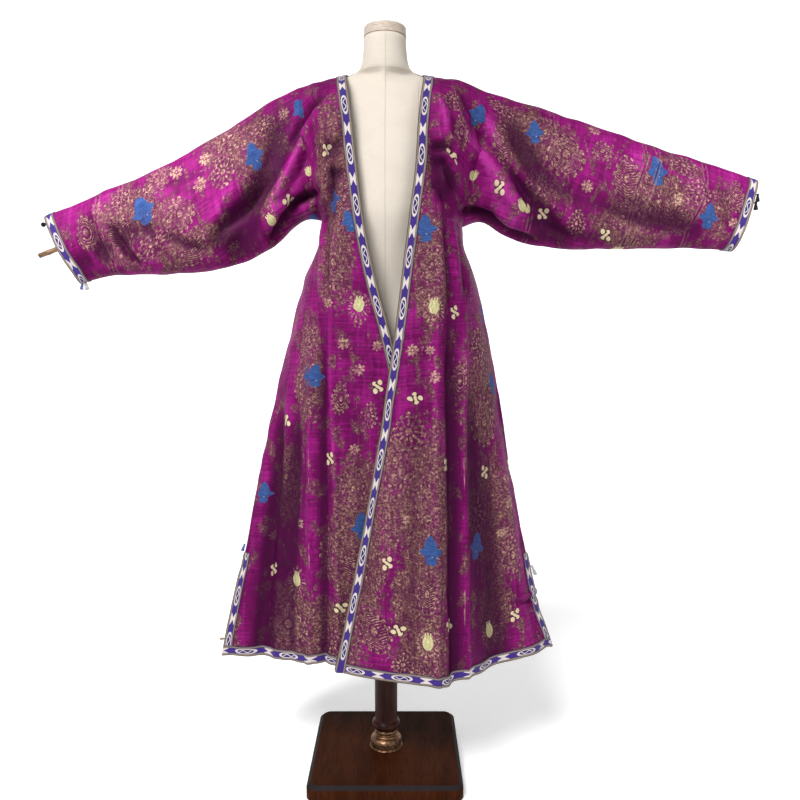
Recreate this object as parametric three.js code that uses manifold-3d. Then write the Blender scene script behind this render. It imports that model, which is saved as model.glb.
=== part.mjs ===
// A Central Asian woman's robe of silk and gold brocade, open in front, worn by a limbless dress form
// on a turned post and a square base. Millimetres, +Z up. The origin is on the post's axis, on the
// base's underside. The robe's front faces -Y. Left and right are the wearer's: left is +X.
import * as THREE from "three";
import Module from "manifold-3d";
import { mergeVertices } from "three/addons/utils/BufferGeometryUtils.js";

const wasm = await Module();
wasm.setup();

// ---------------------------------------------------------------- driving dimensions
const CLOTH = 2; // wall of the silk with its cotton backing
const SEAM = 0.3; // gap between pieces that are sewn together
const TAPE = { width: 21, wall: 1.2, gap: 0.35 }; // the woven tape that edges the robe
const HEM_Z = 262;
const SLIT_Z = 478; // top of the side slits
const NECK_HALF = 80; // half width of the neck opening at the shoulder line
const NECK_REACH = 58; // how far the neckline runs behind the shoulder line
const NECK_RISE = 32; // how far the neckline climbs at the centre back

// Shoulder lines: height of the cloth at a distance from the centre.
const SHOULDER = {
  left: [
    { x: 0, z: 1490 },
    { x: 80, z: 1484 },
    { x: 110, z: 1478 },
    { x: 150, z: 1468 },
    { x: 185, z: 1458 },
    { x: 215, z: 1448 },
  ],
  right: [
    { x: 0, z: 1490 },
    { x: 80, z: 1484 },
    { x: 110, z: 1475 },
    { x: 145, z: 1464 },
    { x: 180, z: 1457 },
    { x: 215, z: 1448 },
  ],
};

// Each side of the robe: where the armhole starts and ends, the front edge, the main crease of the
// front, the side seam, and how far the cloth bows out of the straight line between those.
const SIDES = {
  left: {
    sign: 1,
    armhole: { topX: 212, bottomX: 161, bottomZ: 1176, depth: 62 },
    gore: [
      { z: 262, x: 160 },
      { z: 1100, x: 160 },
      { z: 1176, x: 161 },
    ],
    edge: [
      { z: 262, x: -101, y: -130 },
      { z: 400, x: -74, y: -133 },
      { z: 560, x: -44, y: -136 },
      { z: 720, x: -13, y: -139 },
      { z: 830, x: 3, y: -141 },
      { z: 940, x: 19, y: -142 },
      { z: 1060, x: 34, y: -138 },
      { z: 1176, x: 48, y: -133 },
      { z: 1270, x: 60, y: -126 },
      { z: 1350, x: 65, y: -114 },
      { z: 1415, x: 71, y: -92 },
      { z: 1455, x: 77, y: -58 },
      { z: 1484, x: 80, y: -2 },
    ],
    crease: [
      { z: 262, x: 105, y: -197 },
      { z: 478, x: 107, y: -186 },
      { z: 720, x: 108, y: -171 },
      { z: 940, x: 107, y: -156 },
      { z: 1100, x: 106, y: -144 },
      { z: 1176, x: 106, y: -137 },
    ],
    seam: [
      { z: 262, x: 366, y: -12 },
      { z: 370, x: 329, y: -12 },
      { z: 478, x: 305, y: -8 },
      { z: 650, x: 272, y: 0 },
      { z: 830, x: 242, y: 4 },
      { z: 978, x: 213, y: 4 },
      { z: 1072, x: 189, y: 2 },
      { z: 1134, x: 166, y: 0 },
      { z: 1176, x: 161, y: 0 },
    ],
    bow: [
      { z: 262, front: 8, flank: 8 },
      { z: 720, front: 6, flank: 18 },
      { z: 1060, front: 4, flank: 17 },
      { z: 1176, front: 3, flank: 12 },
    ],
  },
  right: {
    sign: -1,
    armhole: { topX: -180, bottomX: -134, bottomZ: 1187, depth: 62 },
    gore: [
      { z: 262, x: -156 },
      { z: 700, x: -152 },
      { z: 1050, x: -145 },
      { z: 1187, x: -134 },
    ],
    edge: [
      { z: 262, x: 84, y: -118 },
      { z: 400, x: 76, y: -121 },
      { z: 560, x: 66, y: -124 },
      { z: 720, x: 52, y: -127 },
      { z: 830, x: 38, y: -129 },
      { z: 940, x: 15, y: -130 },
      { z: 1060, x: -17, y: -131 },
      { z: 1176, x: -40, y: -128 },
      { z: 1270, x: -52, y: -124 },
      { z: 1350, x: -61, y: -113 },
      { z: 1415, x: -69, y: -92 },
      { z: 1455, x: -75, y: -58 },
      { z: 1484, x: -80, y: -2 },
    ],
    crease: [
      { z: 262, x: -112, y: -98 },
      { z: 478, x: -108, y: -108 },
      { z: 720, x: -102, y: -120 },
      { z: 940, x: -104, y: -130 },
      { z: 1100, x: -98, y: -132 },
      { z: 1187, x: -92, y: -130 },
    ],
    seam: [
      { z: 262, x: -353, y: -44 },
      { z: 370, x: -332, y: -32 },
      { z: 478, x: -306, y: -20 },
      { z: 650, x: -272, y: -8 },
      { z: 830, x: -234, y: 0 },
      { z: 978, x: -196, y: 2 },
      { z: 1072, x: -168, y: 1 },
      { z: 1134, x: -141, y: 0 },
      { z: 1187, x: -134, y: 0 },
    ],
    bow: [
      { z: 262, front: 2, flank: 3 },
      { z: 720, front: 4, flank: 18 },
      { z: 1060, front: 3, flank: 15 },
      { z: 1187, front: 2, flank: 11 },
    ],
  },
};
const BACK_DEPTH = [
  { z: 262, y: 168 },
  { z: 478, y: 152 },
  { z: 720, y: 133 },
  { z: 940, y: 116 },
  { z: 1100, y: 108 },
  { z: 1180, y: 107 },
];
const BLADE_DEPTH = 46; // how deep the back stays towards the armholes, over the shoulder blades
const GORE_TAPER = 0.55; // near its apex a gore's half is no wider than this share of the way down
const SLIT_SPREAD = 14; // how far the front and back edges of a slit stand apart at the hem

// Sleeves: a row for each ring, from the armhole to the cuff. Top and bottom of the ring as seen from
// the front, half its thickness front to back, and whether a seam between two lengths lies there.
const SLEEVES = {
  left: [
    { topX: 280, topZ: 1430, bottomX: 205, bottomZ: 1183, depth: 68 },
    { topX: 358, topZ: 1406, bottomX: 268, bottomZ: 1149, depth: 68, join: true },
    { topX: 455, topZ: 1375, bottomX: 370, bottomZ: 1130, depth: 62 },
    { topX: 557, topZ: 1341, bottomX: 485, bottomZ: 1129, depth: 54, join: true },
    { topX: 640, topZ: 1315, bottomX: 578, bottomZ: 1130, depth: 48 },
    { topX: 701, topZ: 1297, bottomX: 647, bottomZ: 1131, depth: 42, join: true },
    { topX: 778, topZ: 1271, bottomX: 731, bottomZ: 1125, depth: 36 },
  ],
  right: [
    { topX: -255, topZ: 1419, bottomX: -177, bottomZ: 1188, depth: 66 },
    { topX: -336, topZ: 1368, bottomX: -240, bottomZ: 1130, depth: 68, join: true },
    { topX: -430, topZ: 1317, bottomX: -340, bottomZ: 1089, depth: 62 },
    { topX: -526, topZ: 1272, bottomX: -450, bottomZ: 1077, depth: 54, join: true },
    { topX: -596, topZ: 1245, bottomX: -527, bottomZ: 1075, depth: 48 },
    { topX: -645, topZ: 1223, bottomX: -579, bottomZ: 1073, depth: 43, join: true },
    { topX: -714, topZ: 1196, bottomX: -646, bottomZ: 1057, depth: 37 },
  ],
};
const SLEEVE_PIECES = ["upper", "middle", "lower", "cuff"];

// The largest folds, each a soft ridge (height above 0) or trough (below 0) along a line as seen from
// the front. spread is the half width, and face says which side of the robe carries it.
const FOLDS = [
  { face: -1, x0: 258, z0: 1195, x1: 178, z1: 1425, spread: 30, height: 10 },
  { face: -1, x0: 345, z0: 1150, x1: 232, z1: 1400, spread: 32, height: -11 },
  { face: -1, x0: 640, z0: 1165, x1: 350, z1: 1270, spread: 30, height: -7 },
  { face: -1, x0: 560, z0: 1290, x1: 380, z1: 1340, spread: 30, height: 5 },
  { face: -1, x0: 120, z0: 1225, x1: 88, z1: 1345, spread: 24, height: -9 },
  { face: -1, x0: -300, z0: 1125, x1: -186, z1: 1425, spread: 30, height: -13 },
  { face: -1, x0: -225, z0: 1195, x1: -150, z1: 1425, spread: 27, height: 10 },
  { face: -1, x0: -640, z0: 1085, x1: -430, z1: 1215, spread: 28, height: -7 },
  { face: -1, x0: -118, z0: 1190, x1: -92, z1: 1350, spread: 24, height: -8 },
  { face: -1, x0: -255, z0: 262, x1: -205, z1: 800, spread: 34, height: -13 },
  { face: -1, x0: 232, z0: 262, x1: 180, z1: 900, spread: 34, height: -12 },
  { face: -1, x0: 310, z0: 262, x1: 235, z1: 800, spread: 30, height: 8 },
  { face: 1, x0: 300, z0: 1165, x1: 190, z1: 1400, spread: 32, height: -11 },
  { face: 1, x0: -270, z0: 1130, x1: -165, z1: 1400, spread: 32, height: -11 },
  { face: 1, x0: 230, z0: 262, x1: 150, z1: 950, spread: 36, height: -16 },
  { face: 1, x0: 120, z0: 262, x1: 80, z1: 900, spread: 34, height: 12 },
  { face: 1, x0: 0, z0: 262, x1: 5, z1: 1000, spread: 36, height: -14 },
  { face: 1, x0: -115, z0: 262, x1: -75, z1: 900, spread: 34, height: 12 },
  { face: 1, x0: -230, z0: 262, x1: -145, z1: 950, spread: 36, height: -16 },
];

// Rows of the body: heights from the hem tape up to the armpit, then shares of the armhole's height.
const LOW_ROWS = [330, 400, SLIT_Z, 560, 650, 740, 830, 920, 1005, 1080, 1135];
const HIGH_ROWS = [0.07, 0.17, 0.28, 0.4, 0.52, 0.64, 0.75, 0.85, 0.94];
const FRONT_COLUMNS = 8;
const CREASE_COLUMN = 6; // the column that follows the front's main crease below the waist
const GORE_COLUMNS = 5;
const BACK_NECK_COLUMNS = 6;
const SLEEVE_STEPS = 2; // rows of quads between two rings of the table

// The dress form: half width, reach to the front and back, and corner fullness at each height.
const FORM = [
  { z: 770, half: 140, front: 96, back: 92, full: 2.2 },
  { z: 782, half: 152, front: 106, back: 102, full: 2.2 },
  { z: 860, half: 158, front: 110, back: 104, full: 2.2 },
  { z: 950, half: 138, front: 100, back: 92, full: 2.1 },
  { z: 1035, half: 118, front: 90, back: 80, full: 2.1 },
  { z: 1120, half: 120, front: 98, back: 88, full: 2.1 },
  { z: 1205, half: 126, front: 114, back: 95, full: 2.2 },
  { z: 1290, half: 136, front: 108, back: 99, full: 2.2 },
  { z: 1360, half: 150, front: 92, back: 96, full: 2.3 },
  { z: 1410, half: 162, front: 73, back: 80, full: 2.2 },
  { z: 1436, half: 164, front: 58, back: 62, full: 1.9 },
  { z: 1450, half: 158, front: 47, back: 50, full: 1.5 },
  { z: 1461.2, half: 145, front: 40, back: 43, full: 1.2 },
  { z: 1472.5, half: 109, front: 36, back: 40, full: 1.0 },
  { z: 1481.0, half: 79, front: 38, back: 41, full: 1.05 },
  { z: 1488, half: 61, front: 43, back: 44, full: 1.6 },
  { z: 1498, half: 51, front: 45, back: 45, full: 2 },
  { z: 1518, half: 46, front: 45, back: 45, full: 2 },
  { z: 1557.7, half: 43.5, front: 43.5, back: 43.5, full: 2 },
];
const NECK_CAP = { radius: 43.5, lip: 44.3, bottom: 1558, top: 1579 };
const ROD_RADIUS = 6;
const RODS = {
  right: { insideX: -116, insideZ: 1345, outsideX: -732, outsideZ: 1115 },
  left: { insideX: 118, insideZ: 1384, outsideX: 742, outsideZ: 1188 },
};
const BASE = { half: 162, corner: 22, edge: 24, bevel: 9, top: 33 };
const POST = { spigot: 19, foot: 24, shaft: 25, head: 28, top: 830, bottom: 33.3 };
const COLLAR = { bottom: 33.3, top: 74, foot: 35, waist: 24 };
// Small trims sewn to the edges. ring says which point of the cuff's ring carries one (0 is the lowest),
// rise how far it lies above a row of the body, in rows, and lean how far it leans outwards (radians).
const TASSEL_HEAD = 0.7; // the head's radius, as a share of the tassel's
const TASSELS = {
  cuff_left_upper: { ring: 7, length: 17, radius: 4.2 },
  cuff_left_lower: { ring: 6, length: 18, radius: 4.6 },
  slit_right: { rise: 0.2, length: 17, radius: 3.6, lean: 0.32 },
  slit_left: { rise: 0.6, length: 24, radius: 4.2, lean: -0.42 },
};
const CUFF_CLUSTER = { length: 14, radius: 4.4, back: [0.05, 0.32, 0.59], lean: [0.22, 0, -0.22] };
const CUFF_KNOT = { ring: 8, radius: 5 };
const HEM_RING = { rise: 0.3, radius: 4, thickness: 1.4 };
const FIT = 0.3; // running clearance round the post's spigots and the rods

// ---------------------------------------------------------------- small mathematics
const mix = (a, b, t) => a + (b - a) * t;
const clamp01 = (t) => Math.min(1, Math.max(0, t));

// A smooth curve through knots: cubic pieces whose slopes come from the neighbouring knots.
function smooth(knots, values, at) {
  const last = knots.length - 1;
  const chord = (k) => (values[k + 1] - values[k]) / (knots[k + 1] - knots[k]);
  const slope = (k) => {
    if (k === 0) return chord(0);
    if (k === last) return chord(last - 1);
    const before = knots[k] - knots[k - 1];
    const after = knots[k + 1] - knots[k];
    return (chord(k - 1) * after + chord(k) * before) / (before + after);
  };
  let k = 0;
  while (k < last - 1 && at > knots[k + 1]) k += 1;
  const span = knots[k + 1] - knots[k];
  const t = (at - knots[k]) / span;
  const t2 = t * t;
  const t3 = t2 * t;
  return (
    (2 * t3 - 3 * t2 + 1) * values[k] +
    (t3 - 2 * t2 + t) * span * slope(k) +
    (3 * t2 - 2 * t3) * values[k + 1] +
    (t3 - t2) * span * slope(k + 1)
  );
}
const column = (table, name, key, at) =>
  smooth(
    table.map((row) => row[key]),
    table.map((row) => row[name]),
    at,
  );
const shoulderZ = (x) => column(SHOULDER[x < 0 ? "right" : "left"], "z", "x", Math.abs(x));

// How far the cloth stands from the shoulder line, from 1 at the armpit's height to 0 at the top.
const shoulderRound = (share) => (1 - clamp01(share) ** 2.4) ** (1 / 2.4);
// The same at the bottom of a sleeve, where the cloth turns under.
const underRound = (share) => Math.sqrt(1 - (1 - clamp01(share)) ** 6);
const ringDepth = (share) => shoulderRound(share) * underRound(share);

// A line through key points, as many short steps, with the way along it at each.
function lineThrough(keys, steps = 80) {
  const knots = [0];
  keys.slice(1).forEach((p, k) => knots.push(knots[k] + Math.hypot(p[0] - keys[k][0], p[1] - keys[k][1])));
  const points = [];
  for (let s = 0; s <= steps; s += 1) {
    const at = (knots[knots.length - 1] * s) / steps;
    points.push([0, 1].map((axis) => smooth(knots, keys.map((p) => p[axis]), at)));
  }
  const way = [0];
  points.slice(1).forEach((p, k) => way.push(way[k] + Math.hypot(p[0] - points[k][0], p[1] - points[k][1])));
  return { points, way, length: way[steps] };
}
function pointAlong(line, distance) {
  let k = 0;
  while (k < line.way.length - 2 && distance > line.way[k + 1]) k += 1;
  const t = (distance - line.way[k]) / (line.way[k + 1] - line.way[k]);
  return [0, 1].map((axis) => mix(line.points[k][axis], line.points[k + 1][axis], t));
}
function wayWhere(line, test) {
  const k = line.points.findIndex(test);
  return k < 0 ? line.length : line.way[k];
}

// ---------------------------------------------------------------- the robe's outer surface
// A point on the line from a to b that bows sideways by bow at its middle.
function bowed(a, b, bow, t) {
  const length = Math.hypot(b[0] - a[0], b[1] - a[1]);
  const reach = (bow * 4 * t * (1 - t)) / length;
  return [mix(a[0], b[0], t) - (b[1] - a[1]) * reach, mix(a[1], b[1], t) + (b[0] - a[0]) * reach];
}

const armholePoint = (side, share, face) => {
  const { topX, bottomX, bottomZ, depth } = SIDES[side].armhole;
  return new THREE.Vector3(
    mix(bottomX, topX, share),
    face * (2 + (depth - 2) * ringDepth(share)) * Math.min(1, share * 60),
    mix(bottomZ, shoulderZ(topX), share),
  );
};

// A row of the front from its edge to the side seam or the armhole, in plan.
function frontLine(side, z, share) {
  const { sign, edge, crease, seam, bow, armhole } = SIDES[side];
  const low = Math.min(z, armhole.bottomZ);
  const rounding = shoulderRound(share);
  const edgeZ = share > 0 ? mix(armhole.bottomZ, shoulderZ(NECK_HALF * sign), share) : z;
  const start = [column(edge, "x", "z", edgeZ), column(edge, "y", "z", edgeZ)];
  const creaseX = column(crease, "x", "z", low);
  const middle = [mix(creaseX, sign * 146, share), Math.min(-2, column(crease, "y", "z", low) * rounding)];
  const end = [column(seam, "x", "z", low), column(seam, "y", "z", low)];
  if (share > 0) {
    const arm = armholePoint(side, share, -1);
    end[0] = arm.x;
    end[1] = arm.y;
  }
  const flat = share > 0 ? rounding * (1 - share) ** 2 : 1;
  const frontBow = column(bow, "front", "z", low) * flat;
  const flankBow = column(bow, "flank", "z", low) * flat;
  const tight = mix(0.86, 0.62, clamp01((z - HEM_Z) / (armhole.bottomZ - HEM_Z)));
  return lineThrough([
    start,
    bowed(start, middle, -sign * frontBow, 0.45),
    bowed(start, middle, -sign * frontBow, tight),
    middle,
    bowed(middle, end, -sign * flankBow, 1 - tight),
    bowed(middle, end, -sign * flankBow, 0.65),
    end,
  ]);
}

// A row of the back from the right side to the left side, in plan.
function neckBehind(x, share) {
  const inside = Math.max(0, 1 - (x / NECK_HALF) ** 2);
  return NECK_REACH * mix(inside, Math.sqrt(inside), share ** 6);
}
function backLine(z, share) {
  const low = Math.min(z, 1180);
  const rounding = shoulderRound(share);
  const depth = column(BACK_DEPTH, "y", "z", low);
  const ends = ["right", "left"].map((side) => {
    const { seam, armhole } = SIDES[side];
    if (share > 0) {
      const arm = armholePoint(side, share, 1);
      return [arm.x, arm.y];
    }
    const at = Math.min(z, armhole.bottomZ);
    return [column(seam, "x", "z", at), column(seam, "y", "z", at)];
  });
  const across = (x, y) => {
    const behind = neckBehind(x, share);
    return [x, Math.max(2, behind + (y - behind) * rounding)];
  };
  const keys = [ends[0]];
  const shares = [0.86, 0.6, 0.3];
  const fullness = [0.62, 0.86, 0.97];
  const fullSide = BLADE_DEPTH * clamp01((z - 960) / 220) ** 2;
  const place = (end, k) => {
    const side = share > 0 ? Math.max(fullSide, end[1] / Math.max(rounding, 0.02)) : fullSide;
    const reach = mix(side, depth, fullness[k]);
    return share > 0 ? across(end[0] * shares[k], reach) : [end[0] * shares[k], reach];
  };
  [0, 1, 2].forEach((k) => keys.push(place(ends[0], k)));
  keys.push(across(0, depth));
  [2, 1, 0].forEach((k) => keys.push(place(ends[1], k)));
  keys.push(ends[1]);
  return lineThrough(keys, 160);
}

// Heights of the rows on one side of the robe: { z, share }, share being 0 up to the armpit.
function rowsOf(side) {
  const { bottomZ } = SIDES[side].armhole;
  const lift = (z) => mix(HEM_Z, bottomZ, (z - HEM_Z) / (1180 - HEM_Z));
  const low = [HEM_Z, HEM_Z + TAPE.width, ...LOW_ROWS.map(lift), bottomZ].map((z) => ({ z, share: 0 }));
  return [...low, ...HIGH_ROWS.map((share) => ({ z: bottomZ, share })), { z: bottomZ, share: 1 }];
}
const ARMPIT_ROW = LOW_ROWS.length + 2;
const SLIT_ROW = LOW_ROWS.indexOf(SLIT_Z) + 2;
const ROW_COUNT = ARMPIT_ROW + HIGH_ROWS.length + 2;

// The share of the armhole's height at a row and column: the last row lies one tape width below the top.
function heightShare(pointAt, row) {
  const { share } = row;
  const highest = HIGH_ROWS[HIGH_ROWS.length - 1];
  if (share === 0 || share === 1) return share;
  const top = pointAt(1);
  let [low, high] = [0.7, 0.9995];
  for (let k = 0; k < 24; k += 1) {
    const half = (low + high) / 2;
    if (pointAt(half).distanceTo(top) > TAPE.width) low = half;
    else high = half;
  }
  return (share / highest) * low;
}

// The cut of a front: rows from the hem up, columns from the front edge to the side.
function frontGrid(side) {
  const { sign, gore, armhole, crease } = SIDES[side];
  const columns = FRONT_COLUMNS + GORE_COLUMNS;
  const frontWay = (line, creaseX, end, z, i) => {
    const nearEdge = TAPE.width;
    if (i <= 1) return i * nearEdge;
    const even = mix(nearEdge, end, (i - 1) / (FRONT_COLUMNS - 1));
    const creaseWay = wayWhere(line, ([x]) => sign * x > sign * creaseX);
    const onCrease =
      i <= CREASE_COLUMN
        ? mix(nearEdge, creaseWay, (i - 1) / (CREASE_COLUMN - 1))
        : mix(creaseWay, end, (i - CREASE_COLUMN) / (FRONT_COLUMNS - CREASE_COLUMN));
    return mix(onCrease, even, clamp01((z - 800) / 250));
  };
  const pointAt = (row, share, i) => {
    const line = frontLine(side, row.z, share);
    if (row.share > 0 || row.z === armhole.bottomZ) {
      const [x, y] = pointAlong(line, frontWay(line, 0, line.length, armhole.bottomZ, i));
      const topLine = frontLine(side, row.z, 1);
      const [topX] = pointAlong(topLine, frontWay(topLine, 0, topLine.length, armhole.bottomZ, i));
      return new THREE.Vector3(x, y, mix(armhole.bottomZ, shoulderZ(topX), share));
    }
    const seamX = column(gore, "x", "z", row.z);
    const widest = (armhole.bottomZ - row.z) * GORE_TAPER;
    const seamWay = Math.max(line.length - widest, wayWhere(line, ([x]) => sign * x > sign * seamX));
    const beside = Math.min(TAPE.width, (line.length - seamWay) / GORE_COLUMNS);
    let way;
    if (i <= FRONT_COLUMNS) way = frontWay(line, column(crease, "x", "z", row.z), seamWay, row.z, i);
    else if (i < columns) {
      way = mix(seamWay, line.length - beside, (i - FRONT_COLUMNS) / (GORE_COLUMNS - 1));
    } else way = line.length;
    const [x, y] = pointAlong(line, way);
    return new THREE.Vector3(x, y, row.z);
  };
  return rowsOf(side).map((row) => {
    const points = [];
    for (let i = 0; i <= columns; i += 1) {
      const column = row.z === armhole.bottomZ ? Math.min(i, FRONT_COLUMNS) : i;
      const share = heightShare((s) => pointAt(row, s, column), row);
      points.push(pointAt(row, share, column));
    }
    return points;
  });
}

// The cut of the back: columns from the right side to the left side.
const BACK_COLUMNS = 2 * FRONT_COLUMNS + BACK_NECK_COLUMNS;
function backGrid(shoulders) {
  const rows = { left: rowsOf("left"), right: rowsOf("right") };
  const columns = BACK_COLUMNS + 2 * GORE_COLUMNS;
  const topX = (i) => {
    const beyond = i - FRONT_COLUMNS - BACK_NECK_COLUMNS;
    if (i <= FRONT_COLUMNS) return shoulders.right[FRONT_COLUMNS - i];
    if (beyond > 0) return shoulders.left[beyond];
    return mix(-NECK_HALF, NECK_HALF, (i - FRONT_COLUMNS) / BACK_NECK_COLUMNS);
  };
  const neckZ = (x) => shoulderZ(x) + NECK_RISE * Math.max(0, 1 - (x / NECK_HALF) ** 2);
  const highPoint = (share, i) => {
    const across = i / BACK_COLUMNS;
    const bottom = mix(SIDES.right.armhole.bottomZ, SIDES.left.armhole.bottomZ, across);
    if (i === 0) return armholePoint("right", share, 1);
    if (i === BACK_COLUMNS) return armholePoint("left", share, 1);
    const x = topX(i);
    if (share === 1) return new THREE.Vector3(x, Math.max(2, neckBehind(x, 1)), neckZ(x));
    const line = backLine(1180, share);
    const evenly = pointAlong(line, line.length * across);
    const wanted = pointAlong(line, wayWhere(line, ([at]) => at > x));
    const [px, py] = [0, 1].map((axis) => mix(evenly[axis], wanted[axis], share ** 2));
    return new THREE.Vector3(px, py, mix(bottom, neckZ(x), share));
  };
  return rows.left.map((rowLeft, j) => {
    const rowRight = rows.right[j];
    const points = [];
    if (j >= ARMPIT_ROW) {
      for (let i = 0; i <= BACK_COLUMNS; i += 1) {
        const share = heightShare((s) => highPoint(s, i), rowLeft);
        points.push(highPoint(share, i));
      }
      const pad = (point) => Array.from({ length: GORE_COLUMNS }, () => point.clone());
      return [...pad(points[0]), ...points, ...pad(points[BACK_COLUMNS])];
    }
    const line = backLine((rowLeft.z + rowRight.z) / 2, 0);
    const seams = ["right", "left"].map((side) => {
      const { gore, armhole, sign } = SIDES[side];
      const { z } = rows[side][j];
      const seamX = column(gore, "x", "z", z);
      const widest = (armhole.bottomZ - z) * GORE_TAPER;
      const way = wayWhere(line, ([x]) => x > seamX);
      return sign > 0 ? Math.max(line.length - widest, way) : Math.min(widest, way);
    });
    const spare = [seams[0], line.length - seams[1]];
    const beside = spare.map((width) => Math.min(TAPE.width, width / GORE_COLUMNS));
    for (let i = 0; i <= columns; i += 1) {
      let way;
      const fromEnd = columns - i;
      if (i === 0) way = 0;
      else if (i <= GORE_COLUMNS) way = mix(beside[0], seams[0], (i - 1) / (GORE_COLUMNS - 1));
      else if (fromEnd === 0) way = line.length;
      else if (fromEnd <= GORE_COLUMNS) {
        way = line.length - mix(beside[1], spare[1], (fromEnd - 1) / (GORE_COLUMNS - 1));
      } else way = mix(seams[0], seams[1], (i - GORE_COLUMNS) / BACK_COLUMNS);
      const [x, y] = pointAlong(line, way);
      points.push(new THREE.Vector3(x, y, mix(rowRight.z, rowLeft.z, i / columns)));
    }
    return points;
  });
}

// The cut of a sleeve: rows from the armhole to the cuff, columns round it from the underarm up the
// front, over the top and down the back.
function sleeveGrid(side, shares) {
  const { topX, bottomX, bottomZ, depth } = SIDES[side].armhole;
  const rings = [{ topX, topZ: shoulderZ(topX), bottomX, bottomZ, depth }, ...SLEEVES[side]];
  const stations = rings.map((ring, k) => k);
  const ringAt = (at) =>
    Object.fromEntries(
      ["topX", "topZ", "bottomX", "bottomZ", "depth"].map((name) => [
        name,
        smooth(stations, rings.map((ring) => ring[name]), at),
      ]),
    );
  const last = rings.length - 1;
  const end = ringAt(last);
  const before = ringAt(last - 1);
  const reach = Math.hypot(end.topX - before.topX, end.topZ - before.topZ);
  const steps = [];
  for (let k = 0; k < last; k += 1) {
    for (let s = 0; s < SLEEVE_STEPS; s += 1) steps.push(k + s / SLEEVE_STEPS);
  }
  steps.push(last - TAPE.width / reach, last);
  const rows = steps.map((at) => {
    const ring = ringAt(at);
    const point = (share, face) =>
      new THREE.Vector3(
        mix(ring.bottomX, ring.topX, share),
        face * (2 + (ring.depth - 2) * ringDepth(share)) * Math.min(1, share * 60) * (share === 1 ? 0 : 1),
        mix(ring.bottomZ, ring.topZ, share),
      );
    const up = shares.map((share) => point(share, -1));
    const down = [...shares].reverse().slice(1, -1).map((share) => point(share, 1));
    return [...up, ...down];
  });
  const joins = SLEEVES[side].map((ring, k) => (ring.join ? (k + 1) * SLEEVE_STEPS : 0)).filter(Boolean);
  return { rows, joins };
}

// ---------------------------------------------------------------- folds and normals
function foldHeight(point, face) {
  let height = 0;
  for (const fold of FOLDS.filter((each) => each.face === face)) {
    const along = [fold.x1 - fold.x0, fold.z1 - fold.z0];
    const length2 = along[0] ** 2 + along[1] ** 2;
    const t = ((point.x - fold.x0) * along[0] + (point.z - fold.z0) * along[1]) / length2;
    const near = clamp01(t);
    const away = Math.hypot(
      point.x - fold.x0 - near * along[0],
      point.z - fold.z0 - near * along[1],
    );
    const fade = near < 0.5 ? 1 : 1 - (near * 2 - 1) ** 2;
    height += fold.height * fade * Math.exp(-((away / fold.spread) ** 2));
  }
  return height;
}

const keyOf = (p) => [p.x, p.y, p.z].map((value) => value.toFixed(2)).join(" ");
// Outward normals of several grids that share their edge points. turn is 1 where the outside is that of
// the diagonals' cross product, and -1 where it is the opposite.
function normalsOf(grids) {
  const sums = new Map();
  const add = (p, normal) => {
    const key = keyOf(p);
    if (!sums.has(key)) sums.set(key, new THREE.Vector3());
    sums.get(key).add(normal);
  };
  const [across, up, normal] = [new THREE.Vector3(), new THREE.Vector3(), new THREE.Vector3()];
  for (const { rows, turn, ring } of grids) {
    for (let j = 0; j + 1 < rows.length; j += 1) {
      const count = rows[j].length;
      for (let i = 0; i + (ring ? 0 : 1) < count; i += 1) {
        const [a, b] = [rows[j][i], rows[j][(i + 1) % count]];
        const [c, d] = [rows[j + 1][(i + 1) % count], rows[j + 1][i]];
        across.subVectors(c, a);
        up.subVectors(d, b);
        normal.crossVectors(across, up).multiplyScalar(turn);
        [a, b, c, d].forEach((p) => add(p, normal));
      }
    }
  }
  return (p) => sums.get(keyOf(p)).clone().normalize();
}

// ---------------------------------------------------------------- solids from grids
const RIM_WAY = new THREE.Vector3(0.31, 0.52, 0.79);
// A closed wall between an outer and an inner layer of points. ring joins the last column to the first.
function wall(outer, inner, ring = false) {
  const [height, width] = [outer.length, outer[0].length];
  const positions = [...outer.flat(), ...inner.flat()].flatMap((p) => [p.x, p.y, p.z]);
  const out = (j, i) => j * width + (i % width);
  const inn = (j, i) => height * width + out(j, i);
  const faces = [];
  const quad = (a, b, c, d) => faces.push(a, b, c, a, c, d);
  // The narrow face along an edge of the piece, from outer point p to q. Two pieces that meet at a
  // seam split it along the same diagonal.
  const outerPoints = outer.flat();
  const rim = (p, q) => {
    const step = new THREE.Vector3().subVectors(outerPoints[q], outerPoints[p]);
    const [r, s] = [q + height * width, p + height * width];
    if (step.dot(RIM_WAY) > 0) faces.push(p, q, r, p, r, s);
    else faces.push(p, q, s, q, r, s);
  };
  const columns = ring ? width : width - 1;
  for (let j = 0; j + 1 < height; j += 1) {
    for (let i = 0; i < columns; i += 1) {
      quad(out(j, i), out(j, i + 1), out(j + 1, i + 1), out(j + 1, i));
      quad(inn(j, i), inn(j + 1, i), inn(j + 1, i + 1), inn(j, i + 1));
    }
    if (!ring) {
      rim(out(j, 0), out(j + 1, 0));
      rim(out(j + 1, columns), out(j, columns));
    }
  }
  for (let i = 0; i < columns; i += 1) {
    rim(out(0, i + 1), out(0, i));
    rim(out(height - 1, i), out(height - 1, i + 1));
  }
  return facingOut(positions, faces);
}

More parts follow.
